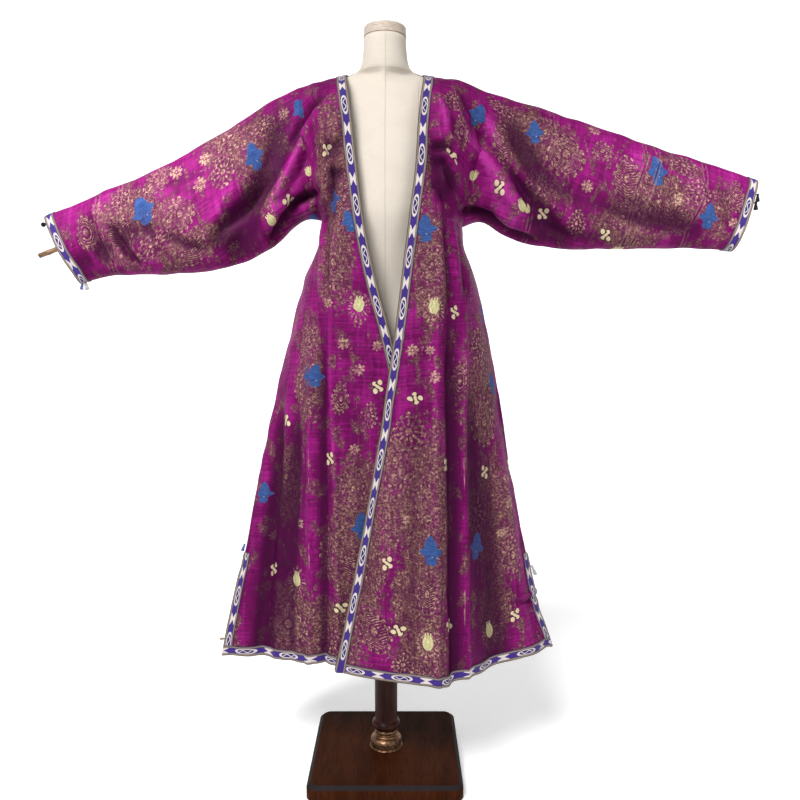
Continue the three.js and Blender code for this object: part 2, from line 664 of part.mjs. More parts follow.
// Indexed geometry with its points merged, flat faces dropped, and its faces turned outwards.
function facingOut(positions, faces) {
  const raw = new THREE.BufferGeometry();
  raw.setAttribute("position", new THREE.Float32BufferAttribute(positions, 3));
  raw.setIndex(faces);
  const merged = mergeVertices(raw, 1e-3);
  const points = merged.getAttribute("position");
  const [a, b, c] = [new THREE.Vector3(), new THREE.Vector3(), new THREE.Vector3()];
  const kept = [];
  let volume = 0;
  for (let k = 0; k < merged.index.count; k += 3) {
    const corner = [0, 1, 2].map((n) => merged.index.getX(k + n));
    if (new Set(corner).size < 3) continue;
    kept.push(corner);
    a.fromBufferAttribute(points, corner[0]);
    b.fromBufferAttribute(points, corner[1]);
    c.fromBufferAttribute(points, corner[2]);
    volume += a.dot(b.cross(c));
  }
  merged.setIndex(kept.flatMap((corner) => (volume < 0 ? corner.toReversed() : corner)));
  merged.computeVertexNormals();
  return merged;
}

const moved = (points, normals, distance) =>
  points.map((row, j) => row.map((p, i) => p.clone().addScaledVector(normals[j][i], distance)));

// Draws the named edges of a patch in by half a seam, towards the points next to them.
function drawnIn(points, sides, distance = SEAM / 2) {
  const made = points.map((row) => row.map((p) => p.clone()));
  const [height, width] = [points.length, points[0].length];
  const pull = (j, i, towards) => {
    const step = new THREE.Vector3().subVectors(towards, points[j][i]);
    const length = step.length();
    if (length > 0) made[j][i].addScaledVector(step, Math.min(distance / length, 0.3));
  };
  for (let i = 0; i < width; i += 1) {
    if (sides.includes("start")) pull(0, i, points[1][i]);
    if (sides.includes("end")) pull(height - 1, i, points[height - 2][i]);
  }
  for (let j = 0; j < height; j += 1) {
    if (sides.includes("first")) pull(j, 0, points[j][1]);
    if (sides.includes("last")) pull(j, width - 1, points[j][width - 2]);
  }
  return made;
}

const patchOf = (rows, [fromRow, toRow], [fromColumn, toColumn]) =>
  rows.slice(fromRow, toRow + 1).map((row) => row.slice(fromColumn, toColumn + 1));

// A piece of cloth: its outer face is the surface, and its wall lies inside it.
function clothWall(points, normals, sides, ring) {
  const outer = drawnIn(points, sides);
  return wall(outer, moved(outer, normals, -CLOTH), ring);
}
// A piece of tape on the cloth, made from the cloth's own points, moved out.
function tapeWall(points, normals, sides, ring) {
  const flat = drawnIn(points, sides, SEAM);
  return wall(moved(flat, normals, TAPE.gap + TAPE.wall), moved(flat, normals, TAPE.gap), ring);
}

// A solid through closed rings of points, with flat ends.
function loft(rings) {
  const width = rings[0].length;
  const positions = rings.flat().flatMap((p) => [p.x, p.y, p.z]);
  const faces = [];
  for (let j = 0; j + 1 < rings.length; j += 1) {
    for (let i = 0; i < width; i += 1) {
      const [a, b] = [j * width + i, j * width + ((i + 1) % width)];
      faces.push(a, b, b + width, a, b + width, a + width);
    }
  }
  const cap = (ring, start, flip) => {
    const contour = ring.map((p) => new THREE.Vector2(p.x, p.y));
    THREE.ShapeUtils.triangulateShape(contour, []).forEach((t) => {
      const corner = t.map((k) => start + k);
      faces.push(...(flip ? corner.toReversed() : corner));
    });
  };
  cap(rings[0], 0, true);
  cap(rings[rings.length - 1], (rings.length - 1) * width, false);
  return facingOut(positions, faces);
}

// A solid turned about the Z axis from a profile of [radius, height] that runs upwards.
const turned = (profile, segments = 24) =>
  new THREE.LatheGeometry(profile.map(([r, z]) => new THREE.Vector2(r, z)), segments).rotateX(Math.PI / 2);

function solidOf(geometry) {
  const flat = geometry.index ? geometry.toNonIndexed() : geometry;
  const bare = new THREE.BufferGeometry().setAttribute("position", flat.getAttribute("position"));
  const merged = mergeVertices(bare, 1e-4);
  const vertProperties = merged.getAttribute("position").array;
  const triVerts = new Uint32Array(merged.index.array);
  return new wasm.Manifold(new wasm.Mesh({ numProp: 3, vertProperties, triVerts }));
}
function geometryOf(solid) {
  const made = solid.getMesh();
  return new THREE.BufferGeometry()
    .setAttribute("position", new THREE.BufferAttribute(new Float32Array(made.vertProperties), 3))
    .setIndex(Array.from(made.triVerts));
}
const cut = (geometry, ...tools) =>
  geometryOf(tools.reduce((solid, tool) => solid.subtract(solidOf(tool)), solidOf(geometry)));
const joined = (first, ...others) =>
  geometryOf(others.reduce((solid, other) => solid.add(solidOf(other)), solidOf(first)));

// ---------------------------------------------------------------- materials and scene
const material = (color, roughness, metalness) =>
  new THREE.MeshStandardMaterial({ color, roughness, metalness });
const SILK = material(0x7d1a73, 0.45, 0.1);
const WOVEN_TAPE = material(0x8f84b8, 0.8, 0);
const THREAD = material(0x3b3a44, 0.9, 0);
const LINEN = material(0xefe6d6, 0.85, 0);
const CAP_WOOD = material(0xd8c4a6, 0.6, 0);
const CANE = material(0x7a5a34, 0.55, 0);
const DARK_WOOD = material(0x2a120b, 0.3, 0);
const BRASS = material(0x8f6a35, 0.35, 0.9);

const root = new THREE.Group();
const robe = new THREE.Group();
const stand = new THREE.Group();
root.add(robe, stand);
function add(group, name, geometry, finish) {
  const mesh = new THREE.Mesh(geometry, finish);
  mesh.name = name;
  group.add(mesh);
  return mesh;
}

// ---------------------------------------------------------------- the robe
const armholeShares = (side) =>
  rowsOf(side)
    .slice(ARMPIT_ROW)
    .map((row) => heightShare((s) => armholePoint(side, s, -1), row));

// Turns the straight seam of a slit into two edges that part towards the hem.
function spreadSlit(rows, columns, face) {
  for (let j = 0; j < SLIT_ROW; j += 1) {
    const open = 1 - (rows[j][0].z - HEM_Z) / (SLIT_Z - HEM_Z);
    columns.forEach((i) => {
      rows[j][i].y += (face * SLIT_SPREAD * open) / 2;
    });
  }
}

const grids = {};
for (const side of ["left", "right"]) {
  grids[side] = frontGrid(side);
  spreadSlit(grids[side], [FRONT_COLUMNS + GORE_COLUMNS], -1);
}
const onShoulder = (side) => grids[side][ROW_COUNT - 1].map((p) => p.x);
grids.back = backGrid({ left: onShoulder("left"), right: onShoulder("right") });
spreadSlit(grids.back, [0, BACK_COLUMNS + 2 * GORE_COLUMNS], 1);
const sleeves = {
  left: sleeveGrid("left", armholeShares("left")),
  right: sleeveGrid("right", armholeShares("right")),
};

// Every point on the armhole is shared with the sleeve, and every point on the side seam with the back.
for (const side of ["left", "right"]) {
  const armholeRing = sleeves[side].rows[0];
  const highest = armholeRing.length / 2;
  for (let k = 0; k <= highest; k += 1) {
    const j = ARMPIT_ROW + k;
    grids[side][j][FRONT_COLUMNS] = armholeRing[k].clone();
    for (let i = FRONT_COLUMNS; i <= FRONT_COLUMNS + GORE_COLUMNS; i += 1) {
      grids[side][j][i] = armholeRing[k].clone();
    }
    const behind = armholeRing[(armholeRing.length - k) % armholeRing.length];
    const edge = side === "left" ? BACK_COLUMNS + GORE_COLUMNS : GORE_COLUMNS;
    for (let n = 0; n <= GORE_COLUMNS; n += 1) {
      grids.back[j][side === "left" ? edge + n : edge - n] = behind.clone();
    }
  }
  const backSide = side === "left" ? BACK_COLUMNS + 2 * GORE_COLUMNS : 0;
  for (let j = SLIT_ROW; j < ARMPIT_ROW; j += 1) {
    grids.back[j][backSide] = grids[side][j][FRONT_COLUMNS + GORE_COLUMNS].clone();
  }
  // Over the shoulder the front's top row and the back's are the same points.
  const top = ROW_COUNT - 1;
  grids[side][top].forEach((p) => {
    p.y = 0;
    p.z = shoulderZ(p.x);
  });
  for (let n = 0; n <= FRONT_COLUMNS; n += 1) {
    const i = side === "left" ? BACK_COLUMNS + GORE_COLUMNS - n : GORE_COLUMNS + n;
    grids.back[top][i] = grids[side][top][FRONT_COLUMNS - n].clone();
  }
}

const outward = normalsOf([
  { rows: grids.left, turn: 1 },
  { rows: grids.right, turn: -1 },
  { rows: grids.back, turn: -1 },
  { rows: sleeves.left.rows, turn: -1, ring: true },
  { rows: sleeves.right.rows, turn: 1, ring: true },
]);
// Moves every point of the robe along its normal by the folds' height there.
function folded(rows) {
  return rows.map((row) =>
    row.map((p) => {
      const normal = outward(p);
      const facing = clamp01(Math.abs(normal.y) * 1.6);
      return p.clone().addScaledVector(normal, foldHeight(p, normal.y < 0 ? -1 : 1) * facing);
    }),
  );
}
const shapes = {
  left: folded(grids.left),
  right: folded(grids.right),
  back: folded(grids.back),
  sleeveLeft: folded(sleeves.left.rows),
  sleeveRight: folded(sleeves.right.rows),
};
const finalNormal = normalsOf([
  { rows: shapes.left, turn: 1 },
  { rows: shapes.right, turn: -1 },
  { rows: shapes.back, turn: -1 },
  { rows: shapes.sleeveLeft, turn: -1, ring: true },
  { rows: shapes.sleeveRight, turn: 1, ring: true },
]);
const normalGrid = (rows) => rows.map((row) => row.map(finalNormal));

const ALL_ROWS = [0, ROW_COUNT - 1];
const LAST = FRONT_COLUMNS + GORE_COLUMNS;
for (const side of ["left", "right"]) {
  const rows = shapes[side];
  const normals = normalGrid(rows);
  const piece = (name, rowRange, columnRange, edges, make = clothWall, finish = SILK) =>
    add(
      robe,
      `${name}_${side}`,
      make(patchOf(rows, rowRange, columnRange), patchOf(normals, rowRange, columnRange), edges),
      finish,
    );
  piece("front_panel", ALL_ROWS, [0, FRONT_COLUMNS], ["last", "end"]);
  piece("front_gore", [0, ARMPIT_ROW], [FRONT_COLUMNS, LAST], ["first", "last", "end"]);
  piece("tape_front", ALL_ROWS, [0, 1], ["end"], tapeWall, WOVEN_TAPE);
  piece("tape_hem_front", [0, 1], [1, LAST], ["first"], tapeWall, WOVEN_TAPE);
  piece("tape_slit_front", [1, SLIT_ROW], [LAST - 1, LAST], ["start"], tapeWall, WOVEN_TAPE);
}

{
  const rows = shapes.back;
  const normals = normalGrid(rows);
  const last = BACK_COLUMNS + 2 * GORE_COLUMNS;
  const piece = (name, rowRange, columnRange, edges, make = clothWall, finish = SILK) =>
    add(
      robe,
      name,
      make(patchOf(rows, rowRange, columnRange), patchOf(normals, rowRange, columnRange), edges),
      finish,
    );
  piece("back_panel", ALL_ROWS, [GORE_COLUMNS, last - GORE_COLUMNS], ["first", "last", "end"]);
  piece("back_gore_right", [0, ARMPIT_ROW], [0, GORE_COLUMNS], ["first", "last", "end"]);
  piece("back_gore_left", [0, ARMPIT_ROW], [last - GORE_COLUMNS, last], ["first", "last", "end"]);
  piece("tape_hem_back", [0, 1], [0, last], [], tapeWall, WOVEN_TAPE);
  piece("tape_slit_back_right", [1, SLIT_ROW], [0, 1], ["start"], tapeWall, WOVEN_TAPE);
  piece("tape_slit_back_left", [1, SLIT_ROW], [last - 1, last], ["start"], tapeWall, WOVEN_TAPE);
  const neckStart = GORE_COLUMNS + FRONT_COLUMNS;
  piece(
    "tape_neck_back",
    [ROW_COUNT - 2, ROW_COUNT - 1],
    [neckStart, neckStart + BACK_NECK_COLUMNS],
    ["first", "last"],
    tapeWall,
    WOVEN_TAPE,
  );
}

for (const side of ["left", "right"]) {
  const rows = side === "left" ? shapes.sleeveLeft : shapes.sleeveRight;
  const normals = normalGrid(rows);
  const width = rows[0].length;
  const cuts = [0, ...sleeves[side].joins, rows.length - 1];
  SLEEVE_PIECES.forEach((name, k) => {
    const range = [cuts[k], cuts[k + 1]];
    const edges = k + 1 < SLEEVE_PIECES.length ? ["start", "end"] : ["start"];
    add(
      robe,
      `sleeve_${name}_${side}`,
      clothWall(patchOf(rows, range, [0, width - 1]), patchOf(normals, range, [0, width - 1]), edges, true),
      SILK,
    );
  });
  const range = [rows.length - 2, rows.length - 1];
  add(
    robe,
    `tape_cuff_${side}`,
    tapeWall(patchOf(rows, range, [0, width - 1]), patchOf(normals, range, [0, width - 1]), [], true),
    WOVEN_TAPE,
  );
}

// ---------------------------------------------------------------- tassels and knots
// A tassel whose head lies round a point, hanging down and leaning by an angle.
function tassel(at, { length, radius, lean = 0 }) {
  const profile = [
    [0, -0.86],
    [0.9, -0.86],
    [1, -0.66],
    [0.55, -0.22],
    [0.45, -0.14],
    [TASSEL_HEAD, 0],
    [0.45, 0.11],
    [0, 0.14],
  ];
  return turned(profile.map(([r, h]) => [r * radius, h * length]), 9)
    .rotateY(lean)
    .translate(at.x, at.y, at.z);
}
function beyondCuff(rows, k, reach) {
  const end = rows[rows.length - 1][k];
  const step = end.clone().sub(rows[rows.length - 2][k]).normalize();
  return end.clone().addScaledVector(step, reach);
}
// A point off the cloth, between two neighbouring points p and q of it.
function offCloth(p, q, t, reach) {
  const normal = finalNormal(p).lerp(finalNormal(q), t).normalize();
  return p.clone().lerp(q, t).addScaledVector(normal, reach);
}
{
  const onTape = TAPE.gap + TAPE.wall + SEAM;
  const [right, left] = [shapes.right, shapes.left];
  const headOf = ({ radius }) => radius * TASSEL_HEAD;
  for (const name of ["cuff_left_upper", "cuff_left_lower"]) {
    const size = TASSELS[name];
    const head = beyondCuff(shapes.sleeveLeft, size.ring, SEAM + headOf(size));
    add(robe, `tassel_${name}`, tassel(head, size), THREAD);
  }
  const slitRight = TASSELS.slit_right;
  const aboveSlit = [right[SLIT_ROW][LAST], right[SLIT_ROW + 1][LAST]];
  const rightHead = offCloth(...aboveSlit, slitRight.rise, SEAM + headOf(slitRight));
  add(robe, "tassel_slit_right", tassel(rightHead, slitRight), THREAD);
  const slitLeft = TASSELS.slit_left;
  const besideSlit = [left[SLIT_ROW - 1][LAST], left[SLIT_ROW][LAST]];
  const leftHead = offCloth(...besideSlit, slitLeft.rise, onTape + headOf(slitLeft));
  add(robe, "tassel_slit_left", tassel(leftHead, slitLeft), THREAD);

  const cuff = shapes.sleeveRight;
  const underCuff = [cuff[cuff.length - 1][0], cuff[cuff.length - 2][0]];
  const cluster = CUFF_CLUSTER.back.map((back, k) => {
    const head = offCloth(...underCuff, back, onTape - 0.7 + headOf(CUFF_CLUSTER));
    return tassel(head, { ...CUFF_CLUSTER, lean: CUFF_CLUSTER.lean[k] });
  });
  add(robe, "tassels_cuff_right", joined(...cluster), THREAD);
  const knotAt = beyondCuff(cuff, CUFF_KNOT.ring, SEAM + CUFF_KNOT.radius);
  const knot = new THREE.SphereGeometry(CUFF_KNOT.radius, 9, 6);
  add(robe, "knot_cuff_right", knot.translate(knotAt.x, knotAt.y, knotAt.z), THREAD);
  const [edgePoint, innerPoint] = [LAST, LAST - 1].map((i) =>
    right[1][i].clone().lerp(right[2][i], HEM_RING.rise),
  );
  const outOfEdge = edgePoint.clone().sub(innerPoint).normalize();
  const hemAt = edgePoint.addScaledVector(outOfEdge, SEAM + HEM_RING.radius + HEM_RING.thickness);
  const ring = new THREE.TorusGeometry(HEM_RING.radius, HEM_RING.thickness, 6, 12);
  add(robe, "ring_hem_right", ring.rotateX(Math.PI / 2).translate(hemAt.x, hemAt.y, hemAt.z), THREAD);
}

// ---------------------------------------------------------------- the stand
function ovalRing({ z, half, front, back, full }, count = 32) {
  return Array.from({ length: count }, (_, k) => {
    const angle = (2 * Math.PI * k) / count;
    const power = (value) => Math.sign(value) * Math.abs(value) ** (2 / full);
    const y = power(Math.sin(angle));
    return new THREE.Vector3(half * power(Math.cos(angle)), y * (y < 0 ? front : back), z);
  });
}
function rodBetween(radius, [x0, z0], [x1, z1]) {
  const shape = new THREE.Shape();
  shape.absarc(0, 0, radius, 0, 2 * Math.PI);
  const path = new THREE.LineCurve3(new THREE.Vector3(x0, 0, z0), new THREE.Vector3(x1, 0, z1));
  return new THREE.ExtrudeGeometry(shape, { steps: 1, curveSegments: 5, extrudePath: path });
}
const postSocket = turned([
  [0, 760],
  [POST.spigot + FIT, 760],
  [POST.spigot + FIT, POST.top + FIT],
  [0, POST.top + FIT],
]);
const rodSockets = Object.values(RODS).map(({ insideX, insideZ, outsideX, outsideZ }) => {
  const back = FIT / Math.hypot(outsideX - insideX, outsideZ - insideZ);
  const inner = [mix(insideX, outsideX, -back), mix(insideZ, outsideZ, -back)];
  const outer = [mix(insideX, outsideX, 0.2), mix(insideZ, outsideZ, 0.2)];
  return rodBetween(ROD_RADIUS + FIT, inner, outer);
});
const torso = loft(FORM.map((row) => ovalRing(row)));
add(stand, "form_torso", cut(torso, postSocket, ...rodSockets), LINEN);
add(
  stand,
  "form_neck_cap",
  turned([
    [0, NECK_CAP.bottom],
    [NECK_CAP.radius, NECK_CAP.bottom],
    [NECK_CAP.lip, NECK_CAP.bottom + 2],
    [NECK_CAP.radius, NECK_CAP.bottom + 4],
    [NECK_CAP.radius, NECK_CAP.top - 2],
    [NECK_CAP.radius - 2, NECK_CAP.top],
    [0, NECK_CAP.top],
  ]),
  CAP_WOOD,
);
for (const [side, { insideX, insideZ, outsideX, outsideZ }] of Object.entries(RODS)) {
  add(stand, `sleeve_rod_${side}`, rodBetween(ROD_RADIUS, [insideX, insideZ], [outsideX, outsideZ]), CANE);
}

add(
  stand,
  "post",
  turned([
    [0, POST.bottom],
    [POST.spigot, POST.bottom],
    [POST.spigot, COLLAR.top + FIT],
    [POST.foot, COLLAR.top + FIT],
    [POST.foot + 7, COLLAR.top + 8],
    [POST.foot + 7, COLLAR.top + 14],
    [POST.foot + 1, COLLAR.top + 24],
    [POST.shaft, COLLAR.top + 60],
    [POST.head, 690],
    [POST.head, 769.7],
    [POST.spigot, 769.7],
    [POST.spigot, POST.top],
    [0, POST.top],
  ]),
  DARK_WOOD,
);
add(
  stand,
  "brass_collar",
  turned([
    [POST.spigot + FIT, COLLAR.bottom],
    [COLLAR.foot, COLLAR.bottom],
    [COLLAR.foot + 0.5, COLLAR.bottom + 14],
    [COLLAR.foot - 1, COLLAR.bottom + 22],
    [COLLAR.foot - 7, COLLAR.bottom + 29],
    [COLLAR.waist, COLLAR.bottom + 33],
    [COLLAR.waist, COLLAR.top],
    [POST.spigot + FIT, COLLAR.top],
    [POST.spigot + FIT, COLLAR.bottom],
  ]),
  BRASS,
);

function squareRing(half, corner, z, arcSteps = 4) {
  const ring = [];
  for (let quarter = 0; quarter < 4; quarter += 1) {
    for (let s = 0; s <= arcSteps; s += 1) {
      const angle = ((quarter + s / arcSteps) * Math.PI) / 2;
      const [cx, cy] = [[1, 1], [-1, 1], [-1, -1], [1, -1]][quarter];
      ring.push(
        new THREE.Vector3(
          cx * (half - corner) + corner * Math.cos(angle),
          cy * (half - corner) + corner * Math.sin(angle),
          z,
        ),
      );
    }
  }
  return ring;
}
add(
  stand,
  "base",
  loft([
    squareRing(BASE.half, BASE.corner, 0),
    squareRing(BASE.half, BASE.corner, BASE.edge),
    squareRing(BASE.half - BASE.bevel, BASE.corner - BASE.bevel / 2, BASE.top),
  ]),
  DARK_WOOD,
);

export default root;
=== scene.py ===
import math

import bpy
import numpy as np
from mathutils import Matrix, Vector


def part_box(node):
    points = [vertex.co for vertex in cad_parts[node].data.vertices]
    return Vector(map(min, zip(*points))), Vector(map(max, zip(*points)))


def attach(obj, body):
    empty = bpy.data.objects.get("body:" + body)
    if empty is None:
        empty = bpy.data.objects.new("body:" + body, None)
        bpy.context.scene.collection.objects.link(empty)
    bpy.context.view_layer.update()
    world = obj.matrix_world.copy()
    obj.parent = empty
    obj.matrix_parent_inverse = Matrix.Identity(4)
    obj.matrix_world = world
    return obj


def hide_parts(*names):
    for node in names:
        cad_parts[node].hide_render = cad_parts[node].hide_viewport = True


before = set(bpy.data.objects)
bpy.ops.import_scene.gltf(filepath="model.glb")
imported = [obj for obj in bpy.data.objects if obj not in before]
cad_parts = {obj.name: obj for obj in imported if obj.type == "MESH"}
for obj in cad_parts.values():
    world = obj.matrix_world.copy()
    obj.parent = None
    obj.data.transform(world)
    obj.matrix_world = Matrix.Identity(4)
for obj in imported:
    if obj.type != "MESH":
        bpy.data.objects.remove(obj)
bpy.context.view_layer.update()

MM = 0.001

# ---------------------------------------------------------------- driving dimensions
CLOTH = 1.6  # wall of the silk with its cotton backing
SEAM = 0.3  # gap between pieces that are sewn together
TAPE_WIDTH = 21
TAPE_WALL = 1.2
TAPE_GAP = 0.35
HEM_Z = 262
TOP_STATION = 1180  # height of the armpits, before each side's own height is put in
SLIT_STATION = 478
NECK_HALF = 80
NECK_REACH = 58
NECK_RISE = 32
SIGNS = {"left": 1, "right": -1}

# Shoulder lines: distance from the centre, height.
SHOULDER = {
    "left": ((0, 1490), (80, 1484), (110, 1478), (150, 1468), (185, 1458), (215, 1448)),
    "right": ((0, 1490), (80, 1484), (110, 1475), (145, 1464), (180, 1457), (215, 1448)),
}
ARMHOLE = {
    "left": {"top_x": 212, "bottom_x": 161, "bottom_z": 1176, "depth": 62},
    "right": {"top_x": -180, "bottom_x": -134, "bottom_z": 1187, "depth": 62},
}
# Where the front's seam to its gore lies: height, x.
GORE = {
    "left": ((262, 160), (1100, 160), (1176, 161)),
    "right": ((262, -156), (700, -152), (1050, -145), (1187, -134)),
}
# The front edges, the main crease of each front and the side seams: height, x, y.
EDGE = {
    "left": (
        (262, -101, -130),
        (400, -74, -133),
        (560, -44, -136),
        (720, -13, -139),
        (830, 3, -141),
        (940, 19, -142),
        (1060, 34, -138),
        (1176, 48, -133),
        (1270, 60, -126),
        (1350, 65, -114),
        (1415, 71, -92),
        (1455, 77, -58),
        (1484, 80, -2),
    ),
    "right": (
        (262, 84, -118),
        (400, 76, -121),
        (560, 66, -124),
        (720, 52, -127),
        (830, 38, -129),
        (940, 15, -130),
        (1060, -17, -131),
        (1176, -40, -128),
        (1270, -52, -124),
        (1350, -61, -113),
        (1415, -69, -92),
        (1455, -75, -58),
        (1484, -80, -2),
    ),
}
CREASE = {
    "left": (
        (262, 105, -197),
        (478, 107, -186),
        (720, 108, -171),
        (940, 107, -156),
        (1100, 106, -144),
        (1176, 106, -137),
    ),
    "right": (
        (262, -112, -98),
        (478, -108, -108),
        (720, -102, -120),
        (940, -104, -130),
        (1100, -98, -132),
        (1187, -92, -130),
    ),
}
SIDE_SEAM = {
    "left": (
        (262, 366, -12),
        (370, 329, -12),
        (478, 305, -8),
        (650, 272, 0),
        (830, 242, 4),
        (978, 213, 4),
        (1072, 189, 2),
        (1134, 166, 0),
        (1176, 161, 0),
    ),
    "right": (
        (262, -353, -44),
        (370, -332, -32),
        (478, -306, -20),
        (650, -272, -8),
        (830, -234, 0),
        (978, -196, 2),
        (1072, -168, 1),
        (1134, -141, 0),
        (1187, -134, 0),
    ),
}
# How far the cloth bows out between those: height, in front, at the flank.
BOW = {
    "left": ((262, 8, 8), (720, 6, 18), (1060, 4, 17), (1176, 3, 12)),
    "right": ((262, 2, 3), (720, 4, 18), (1060, 3, 15), (1187, 2, 11)),
}
BACK_DEPTH = ((262, 168), (478, 152), (720, 133), (940, 116), (1100, 108), (1180, 107))
BLADE_DEPTH = 46  # how far the shoulder blades hold the cloth out at its sides
BLADE_START = 960  # height from which they begin to, and the rise over which they reach it
BLADE_RISE = 220
GORE_TAPER = 0.55  # how much a gore widens for each mm below the armpit
SLIT_SPREAD = 14  # how far apart a slit's edges stand at the hem

SHOULDER_ROUNDNESS = 2.4  # a larger number is a squarer shoulder
UNDERARM_ROUNDNESS = 6
EDGE_SET_BACK = 2  # how far back a front edge's upper end is set
FRONT_MIDDLE = 146  # x that the main crease of a front leads to on the shoulder
# Where a front's row bows, as shares of the way: edge to crease, beside the crease at the hem and at the
# armpit, and crease to side.
FRONT_BOW_AT = 0.45
CREASE_BOW_AT = (0.86, 0.62)
FLANK_BOW_AT = 0.65
# Points of a back's row between the side and the middle: share of the half width, share of the full depth.
BACK_STATIONS = ((0.86, 0.62), (0.6, 0.86), (0.3, 0.97))
EVEN_FROM = 800  # above this height a front's columns leave the crease, and over this rise become even
EVEN_RISE = 250
# Where the weave is counted from on each grid of the body: x.
WEAVE_FROM = {"left": 106, "right": -105, "back": 0}

# Sleeves, a row for each ring from the armhole to the cuff: top x and z, bottom x and z, half thickness.
SLEEVES = {
    "left": (
        (280, 1430, 205, 1183, 68),
        (358, 1406, 268, 1149, 68),
        (455, 1375, 370, 1130, 62),
        (557, 1341, 485, 1129, 54),
        (640, 1315, 578, 1130, 48),
        (701, 1297, 647, 1131, 42),
        (778, 1271, 731, 1125, 36),
    ),
    "right": (
        (-255, 1419, -177, 1188, 66),
        (-336, 1368, -240, 1130, 68),
        (-430, 1317, -340, 1089, 62),
        (-526, 1272, -450, 1077, 54),
        (-596, 1245, -527, 1075, 48),
        (-645, 1223, -579, 1073, 43),
        (-714, 1196, -646, 1057, 37),
    ),
}
SLEEVE_PIECES = ("upper", "middle", "lower", "cuff")

# The largest folds: side of the robe (-1 front, 1 back), line from x0 z0 to x1 z1, half width, height.
FOLDS = (
    (-1, 258, 1195, 178, 1425, 30, 10),
    (-1, 345, 1150, 232, 1400, 32, -11),
    (-1, 640, 1165, 350, 1270, 30, -7),
    (-1, 560, 1290, 380, 1340, 30, 5),
    (-1, 120, 1225, 88, 1345, 24, -9),
    (-1, -300, 1125, -186, 1425, 30, -13),
    (-1, -225, 1195, -150, 1425, 27, 10),
    (-1, -640, 1085, -430, 1215, 28, -7),
    (-1, -118, 1190, -92, 1350, 24, -8),
    (-1, -255, 262, -205, 800, 34, -13),
    (-1, 232, 262, 180, 900, 34, -12),
    (-1, 310, 262, 235, 800, 30, 8),
    (1, 300, 1165, 190, 1400, 32, -11),
    (1, -270, 1130, -165, 1400, 32, -11),
    (1, 230, 262, 150, 950, 36, -16),
    (1, 120, 262, 80, 900, 34, 12),
    (1, 0, 262, 5, 1000, 36, -14),
    (1, -115, 262, -75, 900, 34, 12),
    (1, -230, 262, -145, 950, 36, -16),
)

FRONT_COLUMNS = 8
CREASE_COLUMN = 6
GORE_COLUMNS = 5
NECK_COLUMNS = 6
BACK_COLUMNS = 2 * FRONT_COLUMNS + NECK_COLUMNS

# How finely the cloth is divided. Steps of each column of the cut, and steps up the robe.
FRONT_STEPS = (4, 7, 7, 7, 7, 7, 6, 6)
GORE_STEPS = (8, 8, 8, 8, 5)
NECK_STEPS = (5, 5, 5, 5, 5, 5)
HEM_STEPS = 5
SLIT_STEPS = 48
BODY_STEPS = 150
ARM_STEPS = 76
TAPE_STEPS = 6
SLEEVE_STEPS = (14, 17, 20, 20, 16, 13, 14)
FRONT_LINE_STEPS = 160
BACK_LINE_STEPS = 240
ARM_CROWDING = 0.7  # how much the rows beside the armhole crowd towards its ends
LOW_ARM = 0.06  # the lowest share of the armhole, where its outline turns fastest
LOW_ARM_STEPS = 30
HIGH_ARM_STEPS = 180


# ---------------------------------------------------------------- small mathematics
def mix(a, b, t):
    return a + (b - a) * t


def clamp01(t):
    return np.clip(t, 0.0, 1.0)


def smooth(knots, values, at):
    """A smooth curve through knots: cubic pieces whose slopes come from the neighbouring knots."""
    knots = np.asarray(knots, float)
    values = np.asarray(values, float)
    at = np.asarray(at, float)
    gaps = np.diff(knots)
    chords = np.diff(values) / gaps
    slopes = np.empty_like(values)
    slopes[0] = chords[0]
    slopes[-1] = chords[-1]
    slopes[1:-1] = (chords[:-1] * gaps[1:] + chords[1:] * gaps[:-1]) / (gaps[:-1] + gaps[1:])
    k = np.searchsorted(knots[1:-1], at, side="left")
    span = gaps[k]
    t = (at - knots[k]) / span
    t2 = t * t
    t3 = t2 * t
    return (
        (2 * t3 - 3 * t2 + 1) * values[k]
        + (t3 - 2 * t2 + t) * span * slopes[k]
        + (3 * t2 - 2 * t3) * values[k + 1]
        + (t3 - t2) * span * slopes[k + 1]
    )


def table_at(rows, place, at):
    """The number in a place of a table's rows, at a value of the rows' first number."""
    return smooth([row[0] for row in rows], [row[place] for row in rows], at)


def shoulder_z(x):
    """The height of the shoulder line at x."""
    x = np.asarray(x, float)
    left = table_at(SHOULDER["left"], 1, np.abs(x))
    right = table_at(SHOULDER["right"], 1, np.abs(x))
    return np.where(x < 0, right, left)


def shoulder_round(share):
    """How far the cloth stands from the shoulder line: 1 at the armpit's height, 0 at the top."""
    return (1 - clamp01(share) ** SHOULDER_ROUNDNESS) ** (1 / SHOULDER_ROUNDNESS)


def ring_depth(share):
    """How thick a sleeve or the armhole is at a share of its height: 0 at both ends."""
    under = np.sqrt(1 - (1 - clamp01(share)) ** UNDERARM_ROUNDNESS)
    return shoulder_round(share) * under


def unrounded(share):
    """The angle at which a share of the armhole's height is reached, so that even angles are even steps."""
    return np.arcsin(clamp01(share) ** (SHOULDER_ROUNDNESS / 2))


def rounded_share(angle):
    """The share of the armhole's height at an angle of unrounded()."""
    return np.sin(angle) ** (1 / (SHOULDER_ROUNDNESS / 2))


def line_through(keys, steps):
    """A smooth line through (x, y) points: its points, and how far along it each one lies."""
    keys = np.array([[float(p[0]), float(p[1])] for p in keys])
    knots = np.concatenate([[0], np.cumsum(np.hypot(*np.diff(keys, axis=0).T))])
    at = np.linspace(0, knots[-1], steps + 1)
    points = np.stack([smooth(knots, keys[:, 0], at), smooth(knots, keys[:, 1], at)], axis=1)
    way = np.concatenate([[0], np.cumsum(np.hypot(*np.diff(points, axis=0).T))])
    return points, way


